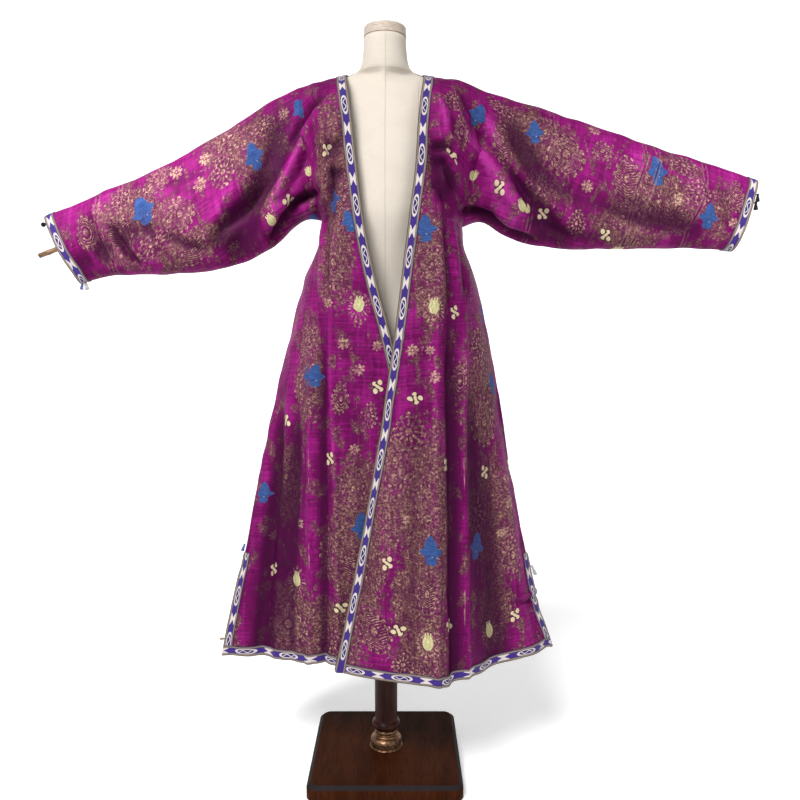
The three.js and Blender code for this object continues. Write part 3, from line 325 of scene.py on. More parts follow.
def along(line, distance):
    """The x and y at a distance along a line."""
    points, way = line
    return np.interp(distance, way, points[:, 0]), np.interp(distance, way, points[:, 1])


def way_where(line, sign, x):
    """How far along a line its x passes a value, going outwards from the middle on that side."""
    points, way = line
    reached = np.maximum.accumulate(sign * points[:, 0])
    return float(np.interp(sign * x, reached, way))


def fine(steps):
    """Column numbers from 0, each column divided into its own number of steps."""
    made = [0.0]
    for column, count in enumerate(steps):
        made.extend(column + (k + 1) / count for k in range(count))
    return np.array(made)


FRONT_FINE = fine(FRONT_STEPS)
GORE_FINE = fine(GORE_STEPS)
NECK_FINE = fine(NECK_STEPS)
FRONT_INDEX = np.concatenate([FRONT_FINE, FRONT_COLUMNS + GORE_FINE[1:]])
PANEL_INDEX = np.concatenate(
    [
        FRONT_COLUMNS - FRONT_FINE[::-1],
        FRONT_COLUMNS + NECK_FINE[1:],
        FRONT_COLUMNS + NECK_COLUMNS + FRONT_FINE[1:],
    ]
)
BACK_INDEX = np.concatenate(
    [
        GORE_COLUMNS - GORE_FINE[::-1],
        GORE_COLUMNS + PANEL_INDEX[1:],
        GORE_COLUMNS + BACK_COLUMNS + GORE_FINE[1:],
    ]
)
PANEL_START = len(GORE_FINE) - 1
PANEL_END = PANEL_START + len(PANEL_INDEX) - 1
FRONT_SEAM = len(FRONT_FINE) - 1


# ---------------------------------------------------------------- the robe's outer surface
def bowed(a, b, bow, t):
    """A point on the line from a to b that bows sideways by bow at its middle."""
    length = math.hypot(b[0] - a[0], b[1] - a[1])
    reach = (bow * 4 * t * (1 - t)) / length
    return mix(a[0], b[0], t) - (b[1] - a[1]) * reach, mix(a[1], b[1], t) + (b[0] - a[0]) * reach


def armhole_points(side, share, face):
    """Points on the front (face -1) or back (1) of an armhole's outline, at shares of its height."""
    hole = ARMHOLE[side]
    share = np.asarray(share, float)
    return np.stack(
        [
            mix(hole["bottom_x"], hole["top_x"], share),
            face * hole["depth"] * ring_depth(share),
            mix(hole["bottom_z"], float(shoulder_z(hole["top_x"])), share),
        ],
        axis=-1,
    )


def front_line(side, z, share=0.0):
    """A row of the front in plan, from its edge to the side seam or the armhole."""
    sign = SIGNS[side]
    bottom = ARMHOLE[side]["bottom_z"]
    low = min(z, bottom)
    rounding = float(shoulder_round(share))
    edge_z = mix(bottom, float(shoulder_z(NECK_HALF * sign)), share) if share > 0 else z
    set_back = EDGE_SET_BACK * share**8
    start = (float(table_at(EDGE[side], 1, edge_z)), float(table_at(EDGE[side], 2, edge_z)) + set_back)
    crease_x = float(table_at(CREASE[side], 1, low))
    middle = (mix(crease_x, sign * FRONT_MIDDLE, share), float(table_at(CREASE[side], 2, low)) * rounding)
    end = (float(table_at(SIDE_SEAM[side], 1, low)), float(table_at(SIDE_SEAM[side], 2, low)))
    if share > 0:
        arm = armhole_points(side, share, -1)
        end = (float(arm[0]), float(arm[1]))
    flat = rounding * (1 - share) ** 2 if share > 0 else 1
    front_bow = float(table_at(BOW[side], 1, low)) * flat
    flank_bow = float(table_at(BOW[side], 2, low)) * flat
    tight = mix(*CREASE_BOW_AT, float(clamp01((z - HEM_Z) / (bottom - HEM_Z))))
    return line_through(
        [
            start,
            bowed(start, middle, -sign * front_bow, FRONT_BOW_AT),
            bowed(start, middle, -sign * front_bow, tight),
            middle,
            bowed(middle, end, -sign * flank_bow, 1 - tight),
            bowed(middle, end, -sign * flank_bow, FLANK_BOW_AT),
            end,
        ],
        FRONT_LINE_STEPS,
    )


def neck_behind(x, share):
    """How far the cloth stands back behind the neck."""
    inside = np.maximum(0, 1 - (np.asarray(x, float) / NECK_HALF) ** 2)
    return NECK_REACH * mix(inside, np.sqrt(inside), share**6)


def back_line(z, share=0.0):
    """A row of the back in plan, from the right side to the left side."""
    low = min(z, TOP_STATION)
    rounding = float(shoulder_round(share))
    depth = float(table_at(BACK_DEPTH, 1, low))
    full_side = BLADE_DEPTH * float(clamp01((z - BLADE_START) / BLADE_RISE)) ** 2
    ends = []
    for side in ("right", "left"):
        at = min(z, ARMHOLE[side]["bottom_z"])
        end = (float(table_at(SIDE_SEAM[side], 1, at)), float(table_at(SIDE_SEAM[side], 2, at)))
        if share > 0:
            arm = armhole_points(side, share, 1)
            end = (float(arm[0]), float(arm[1]))
        ends.append(end)

    def across(x, y):
        behind = float(neck_behind(x, share))
        return x, behind + (y - behind) * rounding

    def place(end, out, fullness):
        side_depth = max(full_side, end[1] / max(rounding, 0.02)) if share > 0 else full_side
        reach = mix(side_depth, depth, fullness)
        return across(end[0] * out, reach) if share > 0 else (end[0] * out, reach)

    keys = [ends[0]]
    keys.extend(place(ends[0], out, fullness) for out, fullness in BACK_STATIONS)
    keys.append(across(0, depth))
    keys.extend(place(ends[1], out, fullness) for out, fullness in reversed(BACK_STATIONS))
    keys.append(ends[1])
    return line_through(keys, BACK_LINE_STEPS)


def lifted(side, station):
    """The height of a station on one side of the robe, whose armpit has its own height."""
    return mix(HEM_Z, ARMHOLE[side]["bottom_z"], (station - HEM_Z) / (TOP_STATION - HEM_Z))


LOW_STATIONS = np.concatenate(
    [
        np.linspace(HEM_Z, HEM_Z + TAPE_WIDTH, HEM_STEPS + 1),
        np.linspace(HEM_Z + TAPE_WIDTH, SLIT_STATION, SLIT_STEPS + 1)[1:],
        np.linspace(SLIT_STATION, TOP_STATION, BODY_STEPS + 1)[1:],
    ]
)
SLIT_ROW = HEM_STEPS + SLIT_STEPS
ARMPIT_ROW = len(LOW_STATIONS) - 1
TAPE_ROW = ARMPIT_ROW + ARM_STEPS
TOP_ROW = TAPE_ROW + TAPE_STEPS
ARM_SHARES = np.linspace(0, 1, ARM_STEPS + 1)
ARM_SHARES = ARM_SHARES - ARM_CROWDING * np.sin(2 * np.pi * ARM_SHARES) / (2 * np.pi)
# Shares of the armhole's height at which the curved part above the armpit is worked out.
ARM_TABLE = np.concatenate(
    [
        LOW_ARM * np.linspace(0, 1, LOW_ARM_STEPS, endpoint=False) ** 2,
        rounded_share(np.linspace(LOW_ARM ** (SHOULDER_ROUNDNESS / 2), np.pi / 2, HIGH_ARM_STEPS)),
    ]
)


def upper_rows(table):
    """Rows from the armpit to the top. table holds points for each share in ARM_TABLE and each column."""
    rows = np.empty((TOP_ROW - ARMPIT_ROW + 1, table.shape[1], 3))
    for i in range(table.shape[1]):
        reach = np.linalg.norm(table[:, i] - table[-1, i], axis=1)
        below_tape = np.interp(TAPE_WIDTH, reach[::-1], ARM_TABLE[::-1])
        last_angles = np.linspace(unrounded(below_tape), np.pi / 2, TAPE_STEPS + 1)
        shares = np.concatenate([ARM_SHARES * below_tape, rounded_share(last_angles[1:])])
        for axis in range(3):
            rows[:, i, axis] = np.interp(shares, ARM_TABLE, table[:, i, axis])
    return rows


def front_way(line, sign, crease_x, end, z, index):
    """How far along a row of the front each column lies."""
    even = mix(TAPE_WIDTH, end, (index - 1) / (FRONT_COLUMNS - 1))
    crease_way = way_where(line, sign, crease_x)
    before = mix(TAPE_WIDTH, crease_way, (index - 1) / (CREASE_COLUMN - 1))
    after = mix(crease_way, end, (index - CREASE_COLUMN) / (FRONT_COLUMNS - CREASE_COLUMN))
    on_crease = np.where(index <= CREASE_COLUMN, before, after)
    way = mix(on_crease, even, float(clamp01((z - EVEN_FROM) / EVEN_RISE)))
    return np.where(index <= 1, index * TAPE_WIDTH, way)


def front_grid(side):
    """Rows of a front from the hem to the shoulder, columns from its edge to the side seam."""
    sign = SIGNS[side]
    bottom = ARMHOLE[side]["bottom_z"]
    panel = FRONT_INDEX[: FRONT_SEAM + 1]
    gore = FRONT_INDEX[FRONT_SEAM + 1 :] - FRONT_COLUMNS
    rows = []
    for station in LOW_STATIONS[:-1]:
        z = lifted(side, station)
        line = front_line(side, z)
        length = line[1][-1]
        seam_x = float(table_at(GORE[side], 1, z))
        seam_way = max(length - (bottom - z) * GORE_TAPER, way_where(line, sign, seam_x))
        beside = min(TAPE_WIDTH, (length - seam_way) / GORE_COLUMNS)
        panel_way = front_way(line, sign, float(table_at(CREASE[side], 1, z)), seam_way, z, panel)
        inner_way = mix(seam_way, length - beside, gore / (GORE_COLUMNS - 1))
        outer_way = length - beside * (GORE_COLUMNS - gore)
        gore_way = np.where(gore <= GORE_COLUMNS - 1, inner_way, outer_way)
        x, y = along(line, np.concatenate([panel_way, gore_way]))
        rows.append(np.stack([x, y, np.full_like(x, z)], axis=1))

    def columns_of(share):
        line = front_line(side, bottom, share)
        return along(line, front_way(line, sign, 0, line[1][-1], bottom, panel))

    top_x = columns_of(1.0)[0]
    table = []
    for share in ARM_TABLE:
        x, y = columns_of(share)
        table.append(np.stack([x, y, mix(bottom, shoulder_z(top_x), share)], axis=1))
    table = np.array(table)
    table[:, -1] = armhole_points(side, ARM_TABLE, -1)
    table[-1, :, 1] = 0
    upper = upper_rows(table)
    beyond = np.repeat(upper[:, -1:], len(gore), axis=1)
    return np.concatenate([np.array(rows), np.concatenate([upper, beyond], axis=1)])


def back_grid(fronts):
    """Rows of the back from the hem to the neck, columns from the right side seam to the left."""
    top_x = np.concatenate(
        [
            fronts["right"][-1, FRONT_SEAM::-1, 0],
            mix(-NECK_HALF, NECK_HALF, NECK_FINE[1:] / NECK_COLUMNS),
            fronts["left"][-1, 1 : FRONT_SEAM + 1, 0],
        ]
    )
    neck_z = shoulder_z(top_x) + NECK_RISE * np.maximum(0, 1 - (top_x / NECK_HALF) ** 2)
    rows = []
    for station in LOW_STATIONS[:-1]:
        heights = [lifted(side, station) for side in ("right", "left")]
        line = back_line(sum(heights) / 2)
        length = line[1][-1]
        seams = []
        for side, z in zip(("right", "left"), heights):
            widest = (ARMHOLE[side]["bottom_z"] - z) * GORE_TAPER
            way = way_where(line, 1, float(table_at(GORE[side], 1, z)))
            seams.append(max(length - widest, way) if side == "left" else min(widest, way))
        spare = (seams[0], length - seams[1])
        beside = [min(TAPE_WIDTH, width / GORE_COLUMNS) for width in spare]
        knots = [0, 1, GORE_COLUMNS, GORE_COLUMNS + BACK_COLUMNS]
        knots += [BACK_COLUMNS + 2 * GORE_COLUMNS - 1, BACK_COLUMNS + 2 * GORE_COLUMNS]
        ways = [0, beside[0], seams[0], seams[1], length - beside[1], length]
        x, y = along(line, np.interp(BACK_INDEX, knots, ways))
        rows.append(np.stack([x, y, mix(heights[0], heights[1], BACK_INDEX / knots[-1])], axis=1))

    across = PANEL_INDEX / BACK_COLUMNS
    bottom = mix(ARMHOLE["right"]["bottom_z"], ARMHOLE["left"]["bottom_z"], across)
    table = []
    for share in ARM_TABLE:
        line = back_line(TOP_STATION, share)
        evenly = np.stack(along(line, line[1][-1] * across), axis=1)
        wanted_way = [way_where(line, 1, x) for x in top_x]
        wanted = np.stack(along(line, wanted_way), axis=1)
        plan = mix(evenly, wanted, share**2)
        table.append(np.column_stack([plan, mix(bottom, neck_z, share)]))
    table = np.array(table)
    table[:, 0] = armhole_points("right", ARM_TABLE, 1)
    table[:, -1] = armhole_points("left", ARM_TABLE, 1)
    table[-1] = np.column_stack([top_x, neck_behind(top_x, 1), neck_z])
    upper = upper_rows(table)
    pad = PANEL_START
    sides = [np.repeat(upper[:, :1], pad, axis=1), upper, np.repeat(upper[:, -1:], pad, axis=1)]
    return np.concatenate([np.array(rows), np.concatenate(sides, axis=1)])


def sleeve_grid(side, armhole_front):
    """Rows from the armhole to the cuff. Columns run from the underarm up the front and down the back."""
    hole = ARMHOLE[side]
    first = (hole["top_x"], float(shoulder_z(hole["top_x"])), hole["bottom_x"], hole["bottom_z"])
    rings = np.array([first + (hole["depth"],), *SLEEVES[side]], float)
    stations = np.arange(len(rings))
    reach = math.dist(rings[-1, :2], rings[-2, :2])
    steps = []
    for k, count in enumerate(SLEEVE_STEPS):
        end = k + 1 if k + 1 < len(SLEEVE_STEPS) else k + 1 - TAPE_WIDTH / reach
        steps.extend(np.linspace(k, end, count, endpoint=False))
    steps.extend(np.linspace(stations[-1] - TAPE_WIDTH / reach, stations[-1], HEM_STEPS + 1))
    shares = (armhole_front[:, 0] - hole["bottom_x"]) / (hole["top_x"] - hole["bottom_x"])
    share = np.concatenate([shares, shares[-2:0:-1]])
    face = np.concatenate([-np.ones(len(shares)), np.ones(len(shares) - 2)])
    face[0] = 0
    face[len(shares) - 1] = 0
    rows = []
    for at in steps:
        top_x, top_z, bottom_x, bottom_z, depth = [float(smooth(stations, rings[:, c], at)) for c in range(5)]
        rows.append(
            np.stack(
                [mix(bottom_x, top_x, share), face * depth * ring_depth(share), mix(bottom_z, top_z, share)],
                axis=1,
            )
        )
    return np.array(rows)


def spread_slit(rows, index, face):
    """Parts the two edges of a slit towards the hem. index runs from 0 to 1 over the edge's own column."""
    for j in range(SLIT_ROW):
        opening = 1 - j / SLIT_ROW
        rows[j, :, 1] += face * SLIT_SPREAD * opening * clamp01(index) / 2


LAST_COLUMN = FRONT_COLUMNS + GORE_COLUMNS
grids = {}
for side in SIGNS:
    grids[side] = front_grid(side)
    spread_slit(grids[side], FRONT_INDEX - (LAST_COLUMN - 1), -1)
grids["back"] = back_grid(grids)
spread_slit(grids["back"], 1 - BACK_INDEX, 1)
spread_slit(grids["back"], BACK_INDEX - (BACK_INDEX[-1] - 1), 1)
for side in SIGNS:
    edge = -1 if side == "left" else 0
    grids["back"][SLIT_ROW:ARMPIT_ROW, edge] = grids[side][SLIT_ROW:ARMPIT_ROW, -1]
    grids["sleeve_" + side] = sleeve_grid(side, grids[side][ARMPIT_ROW:, FRONT_SEAM])

TURNS = {"left": 1, "right": -1, "back": -1, "sleeve_left": -1, "sleeve_right": 1}


# ---------------------------------------------------------------- folds and normals
# Creases on the front, each a line of (x, z) points as seen from the front, then its half width, height
# (below 0 is a valley) and lean: above 0, the side away from the wearer's middle is steeper.
CREASES = (
    # over the right shoulder and into the armpit
    (((-112, 1432), (-150, 1395), (-178, 1345), (-187, 1300)), 9, -5, 0.2),
    (((-128, 1400), (-160, 1352), (-183, 1305), (-214, 1250), (-250, 1195)), 11, 7, 0.3),
    (((-151, 1331), (-172, 1280), (-196, 1240), (-222, 1205)), 9, -6, 0.0),
    (
        (
            (-110, 1424),
            (-143, 1400),
            (-172, 1367),
            (-195, 1318),
            (-212, 1274),
            (-258, 1226),
            (-305, 1184),
            (-362, 1150),
        ),
        14,
        -10,
        0.0,
    ),
    (((-226, 1350), (-262, 1282), (-310, 1222), (-350, 1180)), 15, 4, 0.0),
    (((-250, 1370), (-292, 1290), (-335, 1200), (-372, 1120)), 20, 5, 0.2),
    (((-300, 1230), (-329, 1167), (-358, 1112)), 18, -7, 0.0),
    (((-236, 1134), (-208, 1184), (-182, 1217), (-159, 1230), (-124, 1238)), 10, -17, -0.2),
    (((-200, 1192), (-170, 1206), (-130, 1210)), 8, 4, 0.0),
    # the right chest, where the front is pulled under the arm
    (((-74, 1288), (-104, 1283), (-126, 1262), (-124, 1205)), 9, 7, 0.0),
    (((-70, 1266), (-98, 1262), (-108, 1235), (-106, 1190)), 8, -7, 0.0),
    (((-68, 1330), (-100, 1318), (-132, 1290)), 10, -4, 0.0),
    (((-84, 1400), (-92, 1350), (-100, 1310)), 9, 4, 0.0),
    (((-146, 1215), (-140, 1150), (-138, 1075)), 7, -6, 0.0),
    (((-130, 1190), (-126, 1110), (-124, 1010)), 6, 5, 0.0),
    (((-116, 1195), (-113, 1120), (-116, 1020)), 6, -5, 0.0),
    (((-92, 1170), (-96, 1090), (-98, 1000)), 8, 4, 0.0),
    # the right sleeve towards its cuff
    (((-618, 1216), (-596, 1140), (-574, 1084)), 7, -5, 0.3),
    (((-640, 1205), (-618, 1140), (-592, 1080)), 8, 4, 0.0),
    (((-572, 1186), (-545, 1135), (-508, 1083)), 7, -7, 0.3),
    (((-590, 1190), (-562, 1138), (-530, 1084)), 8, 5, 0.0),
    (((-553, 1150), (-530, 1112), (-502, 1086)), 6, -5, 0.0),
    (((-505, 1215), (-480, 1150), (-445, 1092)), 11, -4, 0.2),
    (((-456, 1156), (-410, 1132), (-360, 1117)), 14, -7, 0.0),
    (((-520, 1170), (-455, 1195), (-392, 1232)), 14, 4, 0.0),
    (((-470, 1250), (-420, 1262), (-370, 1292)), 13, -3, 0.0),
    # over the left shoulder and into the armpit
    (((104, 1425), (116, 1380), (126, 1330)), 8, 5, 0.0),
    (((118, 1430), (136, 1385), (146, 1330)), 8, -5, 0.0),
    (((134, 1400), (160, 1340), (196, 1300), (250, 1232), (300, 1172)), 10, 6, -0.2),
    (((147, 1435), (180, 1382), (196, 1342), (259, 1268), (328, 1171)), 12, -10, 0.2),
    (((186, 1422), (206, 1378), (273, 1280), (345, 1205), (400, 1160)), 13, 7, -0.2),
    (((236, 1410), (290, 1322), (350, 1250), (430, 1190)), 16, -4, 0.0),
    (((310, 1380), (360, 1310), (440, 1240), (520, 1195)), 20, 4, 0.0),
    (((236, 1222), (300, 1180), (361, 1154), (470, 1138)), 12, -5, 0.0),
    (((215, 1252), (282, 1196), (350, 1166)), 9, 4, 0.0),
    (((142, 1196), (178, 1202), (214, 1191), (252, 1160), (330, 1128)), 10, -16, 0.2),
    # the left chest
    (((90, 1330), (116, 1334), (140, 1322), (152, 1300)), 7, 5, 0.0),
    (((90, 1316), (118, 1316), (140, 1300)), 7, -8, 0.0),
    (((88, 1292), (116, 1284), (138, 1258), (148, 1225)), 8, -9, 0.2),
    (((88, 1302), (122, 1296), (152, 1264)), 7, 4, 0.0),
    (((84, 1245), (108, 1236), (132, 1208)), 9, -4, 0.0),
    (((118, 1190), (126, 1110), (131, 1000)), 7, -6, 0.0),
    (((134, 1180), (142, 1100), (148, 1010)), 7, 5, 0.0),
    (((150, 1166), (158, 1100), (163, 1020)), 6, -5, 0.0),
    (((102, 1175), (108, 1100), (112, 1010)), 8, 4, 0.0),
    # the left sleeve towards its cuff
    (((560, 1300), (585, 1240), (610, 1170)), 12, -3, 0.0),
    (((640, 1282), (650, 1225), (668, 1160)), 10, 3, 0.0),
    (((700, 1272), (704, 1215), (712, 1150)), 9, -3, 0.0),
    (((420, 1220), (520, 1180), (640, 1158)), 13, -5, 0.0),
    (((470, 1255), (580, 1215), (690, 1190)), 15, 3, 0.0),
    (((380, 1350), (440, 1330), (520, 1320)), 13, -3, 0.0),
    # the skirt of the left front: a sharp pleat down from the chest, and a lit edge beside it
    (((104, 1040), (102, 825), (104, 540), (107, 262)), 7, 7, 0.6),
    (((129, 1040), (134, 860), (139, 640), (141, 430), (146, 262)), 13, -11, 0.0),
    (((158, 1030), (160, 823), (163, 502), (166, 262)), 6, 6, -0.3),
    (((76, 1000), (64, 800), (58, 560), (50, 300)), 16, -4, 0.0),
    (((40, 940), (20, 720), (-6, 480), (-30, 300)), 18, 3, 0.0),
    (((190, 980), (200, 800), (208, 560), (216, 300)), 13, 4, 0.0),
    (((212, 940), (232, 760), (256, 540), (276, 330)), 12, 3, 0.0),
    (((236, 860), (262, 700), (290, 500), (318, 300)), 12, -4, 0.0),
    (((262, 392), (300, 376), (336, 384)), 5, -4, 0.0),
    (((262, 402), (300, 388), (336, 395)), 5, 3, 0.0),
    # the skirt of the right front
    (((-108, 1020), (-106, 880), (-100, 640), (-98, 440), (-98, 270)), 6, 6, 0.5),
    (((-124, 1010), (-126, 840), (-126, 600), (-128, 262)), 10, -8, 0.0),
    (((-150, 1000), (-150, 800), (-154, 560), (-160, 262)), 7, 5, 0.0),
    (((-180, 880), (-186, 700), (-192, 520), (-200, 262)), 12, -5, 0.0),
    (((-196, 860), (-214, 700), (-230, 520), (-238, 262)), 12, 5, 0.0),
    (((-212, 840), (-238, 640), (-258, 470), (-274, 270)), 11, -7, 0.0),
    (((-236, 800), (-262, 620), (-290, 440), (-312, 290)), 11, 4, 0.0),
    (((-70, 960), (-56, 780), (-42, 560), (-30, 300)), 18, -3, 0.0),
    (((-24, 860), (-8, 700), (12, 500), (24, 300)), 18, 3, 0.0),
    (((-262, 470), (-228, 452), (-196, 470)), 8, -4, 0.0),
)
# The same on the back.
BACK_CREASES = (
    (((-120, 1400), (-170, 1320), (-222, 1240), (-270, 1150)), 14, -7, 0.0),
    (((-160, 1420), (-215, 1340), (-280, 1250), (-330, 1160)), 16, 5, 0.0),
    (((-150, 1235), (-182, 1225), (-215, 1185)), 9, -10, 0.0),
    (((-250, 1360), (-310, 1270), (-370, 1180)), 18, -4, 0.0),
    (((-590, 1200), (-560, 1140), (-530, 1090)), 8, -5, 0.0),
    (((-520, 1190), (-440, 1160), (-370, 1140)), 14, -5, 0.0),
    (((130, 1410), (190, 1330), (250, 1250), (300, 1170)), 14, -7, 0.0),
    (((170, 1420), (230, 1340), (300, 1260), (370, 1180)), 16, 5, 0.0),
    (((150, 1215), (186, 1210), (240, 1178)), 9, -9, 0.0),
    (((300, 1370), (370, 1290), (450, 1210)), 18, -4, 0.0),
    (((430, 1230), (540, 1190), (660, 1170)), 14, -4, 0.0),
    (((640, 1270), (655, 1210), (672, 1150)), 10, 3, 0.0),
    (((-20, 1440), (-24, 1360), (-14, 1280)), 14, -3, 0.0),
    (((-70, 1380), (-64, 1280), (-76, 1150)), 12, -4, 0.0),
    (((60, 1390), (66, 1290), (72, 1160)), 12, -4, 0.0),
    (((-104, 1180), (-100, 1080), (-112, 960)), 8, -5, 0.0),
    (((-84, 1150), (-86, 1050), (-92, 940)), 8, 4, 0.0),
    (((110, 1180), (106, 1080), (118, 950)), 8, -5, 0.0),
    (((90, 1150), (92, 1050), (98, 930)), 8, 4, 0.0),
    (((-40, 1010), (-48, 760), (-56, 480), (-62, 262)), 12, 5, 0.0),
    (((46, 1000), (52, 750), (58, 470), (66, 262)), 12, 5, 0.0),
    (((-150, 960), (-166, 720), (-180, 460), (-186, 262)), 12, 5, 0.0),
    (((152, 950), (168, 710), (182, 460), (190, 262)), 12, 5, 0.0),
    (((-200, 900), (-236, 640), (-262, 420), (-280, 290)), 12, -6, 0.0),
    (((204, 900), (240, 640), (268, 420), (286, 290)), 12, -6, 0.0),
    (((-86, 1000), (-94, 760), (-100, 500), (-104, 262)), 10, -5, 0.0),
    (((88, 1000), (96, 760), (104, 500), (110, 262)), 10, -5, 0.0),
)
FOLD_DEPTH = 1.45
FOLD_TURN = 1.6  # a larger number carries the folds further round the sides
LEAN_SHARE = 0.6  # how much of a crease's width its lean can take off one side
CREASE_FADE = 0.22  # share of a crease's length over which an end of it fades out
HEM_NEAR = 40  # a crease that comes this near to the hem runs on through it
RIPPLE_SEED = 11
RIPPLES = 42  # small slack waves of the silk, in every direction
RIPPLE_LENGTHS = (28, 85)
RIPPLE_STEEPNESS = 0.0026  # height of a wave for each mm of its length
CRINKLES = 16  # flat waves across the front below the waist, where the silk is bunched
CRINKLE_LENGTHS = (15, 30)
CRINKLE_DRIFTS = (60, 160)  # along a crinkle, the distance over which it wanders up and down
CRINKLE_HEIGHT = 0.34
BUNCHED_Z = 925
BUNCHED_HALF = 62
SAME_POINT = 0.05  # points nearer than this are one point of the seams


def neighbours(rows, ring):
    """The four corners of each quad of a grid."""
    if ring:
        rows = np.concatenate([rows, rows[:, :1]], axis=1)
    return rows[:-1, :-1], rows[:-1, 1:], rows[1:, 1:], rows[1:, :-1]


def shared_ids():
    """A number for each point of every grid, the same where grids share a point."""
    flat = np.concatenate([grid.reshape(-1, 3) for grid in grids.values()])
    _, ids = np.unique(np.round(flat / SAME_POINT).astype(np.int64), axis=0, return_inverse=True)
    ids = ids.reshape(-1)
    made = {}
    start = 0
    for name, grid in grids.items():
        count = grid.shape[0] * grid.shape[1]
        made[name] = ids[start : start + count].reshape(grid.shape[:2])
        start += count
    return made, int(ids.max()) + 1


IDS, ID_COUNT = shared_ids()


def outward(shapes):
    """Outward normals of all the grids, the same where they share a point."""
    sums = np.zeros((ID_COUNT, 3))
    for name, rows in shapes.items():
        ring = name.startswith("sleeve")
        a, b, c, d = neighbours(rows, ring)
        normal = np.cross(c - a, d - b) * TURNS[name]
        ids = IDS[name][..., None]
        for corner in neighbours(ids, ring):
            np.add.at(sums, corner[..., 0], normal)
    sums /= np.maximum(np.linalg.norm(sums, axis=1, keepdims=True), 1e-9)
    return {name: sums[IDS[name]] for name in shapes}


def beside_line(x, z, line):
    """Distance to a line of points, which side of it (above 0 outwards), and the share of its length."""
    line = np.array(line, float)
    lengths = np.hypot(*np.diff(line, axis=0).T)
    starts = np.concatenate([[0], np.cumsum(lengths)])
    nearest = np.full(x.shape, 1e9)
    side = np.zeros(x.shape)
    share = np.zeros(x.shape)
    for k, length in enumerate(lengths):
        (x0, z0), (x1, z1) = line[k], line[k + 1]
        ax, az = (x1 - x0) / length, (z1 - z0) / length
        reach = (x - x0) * ax + (z - z0) * az
        held = np.clip(reach, 0, length)
        away = np.hypot(x - x0 - held * ax, z - z0 - held * az)
        better = away < nearest
        nearest = np.where(better, away, nearest)
        side = np.where(better, np.sign((x - x0) * abs(az) * np.sign(x0 + x1)), side)
        share = np.where(better, (starts[k] + held) / starts[-1], share)
    return nearest, side, share


def fold_height(points, face):
    """How far the folds and creases of the front (face -1) or back (1) raise each point."""
    x, z = points[..., 0], points[..., 2]
    height = np.zeros(x.shape)
    for side, x0, z0, x1, z1, spread, tall in FOLDS:
        if side != face:
            continue
        ax, az = x1 - x0, z1 - z0
        near = clamp01(((x - x0) * ax + (z - z0) * az) / (ax * ax + az * az))
        away2 = (x - x0 - near * ax) ** 2 + (z - z0 - near * az) ** 2
        fade = np.where(near < 0.5, 1, 1 - (near * 2 - 1) ** 2)
        height += tall * fade * np.exp(-away2 / spread**2)
    for line, spread, tall, lean in CREASES if face < 0 else BACK_CREASES:
        away, outer, share = beside_line(x, z, line)
        width = spread * (1 - lean * outer * LEAN_SHARE)
        ends = np.minimum(share, 1 - share)
        if min(point[1] for point in line) <= HEM_Z + HEM_NEAR:
            ends = 1 - share if line[0][1] < line[-1][1] else share
        fade = clamp01(ends / CREASE_FADE) ** 0.8
        height += tall * fade * np.exp(-((away / width) ** 2))
    return height


def ripple_height(points):
    """Small irregular waves all over, and flat ones across the fronts below the waist."""
    random = np.random.default_rng(RIPPLE_SEED)
    height = np.zeros(points.shape[:2])
    for _ in range(RIPPLES):
        way = random.normal(size=3)
        way /= np.linalg.norm(way)
        length = random.uniform(*RIPPLE_LENGTHS)
        phase = random.uniform(0, 2 * np.pi)
        wave = np.sin((points @ way) * (2 * np.pi / length) + phase)
        height += wave * length * RIPPLE_STEEPNESS
    x, y, z = points[..., 0], points[..., 1], points[..., 2]
    bunched = np.exp(-(((z - BUNCHED_Z) / BUNCHED_HALF) ** 2))
    bunched = bunched * clamp01(-y / 60) * clamp01((150 - np.abs(x + 15)) / 60)
    for _ in range(CRINKLES):
        tilt = random.normal(0, 0.10)
        length = random.uniform(*CRINKLE_LENGTHS)
        phase = random.uniform(0, 2 * np.pi)
        drift = random.uniform(*CRINKLE_DRIFTS)
        along = np.sin(x * (2 * np.pi / drift) + random.uniform(0, 2 * np.pi))
        wave = np.sin((z + tilt * x) * (2 * np.pi / length) + phase + 1.2 * along)
        height += wave * bunched * CRINKLE_HEIGHT
    return height


# How much the front hems rise: x, mm.
HEM_RISE = {
    "left": ((-110, 0), (106, 0), (122, -5), (137, -9), (152, -5), (170, 2), (207, -1), (290, 8), (366, 8)),
    "right": ((-360, 0), (120, 0)),
}
HEM_REACH = 110


def hem_rise(rows, side):
    """How much each point near a front's hem is raised."""
    table = HEM_RISE[side]
    rise = np.interp(rows[..., 0], [row[0] for row in table], [row[1] for row in table])
    near = clamp01(1 - (rows[..., 2] - HEM_Z) / HEM_REACH)
    return rise * near * near * (3 - 2 * near)


normals = outward(grids)
shapes = {}
hollows = {}
for name, rows in grids.items():
    normal = normals[name]
    facing = clamp01(np.abs(normal[..., 1]) * FOLD_TURN)
    folds = np.where(normal[..., 1] < 0, fold_height(rows, -1), fold_height(rows, 1)) * facing * FOLD_DEPTH
    hollows[name] = folds
    height = folds + ripple_height(rows)
    shapes[name] = rows + normal * height[..., None]
    if name in HEM_RISE:
        shapes[name][..., 2] += hem_rise(rows, name)
normals = outward(shapes)


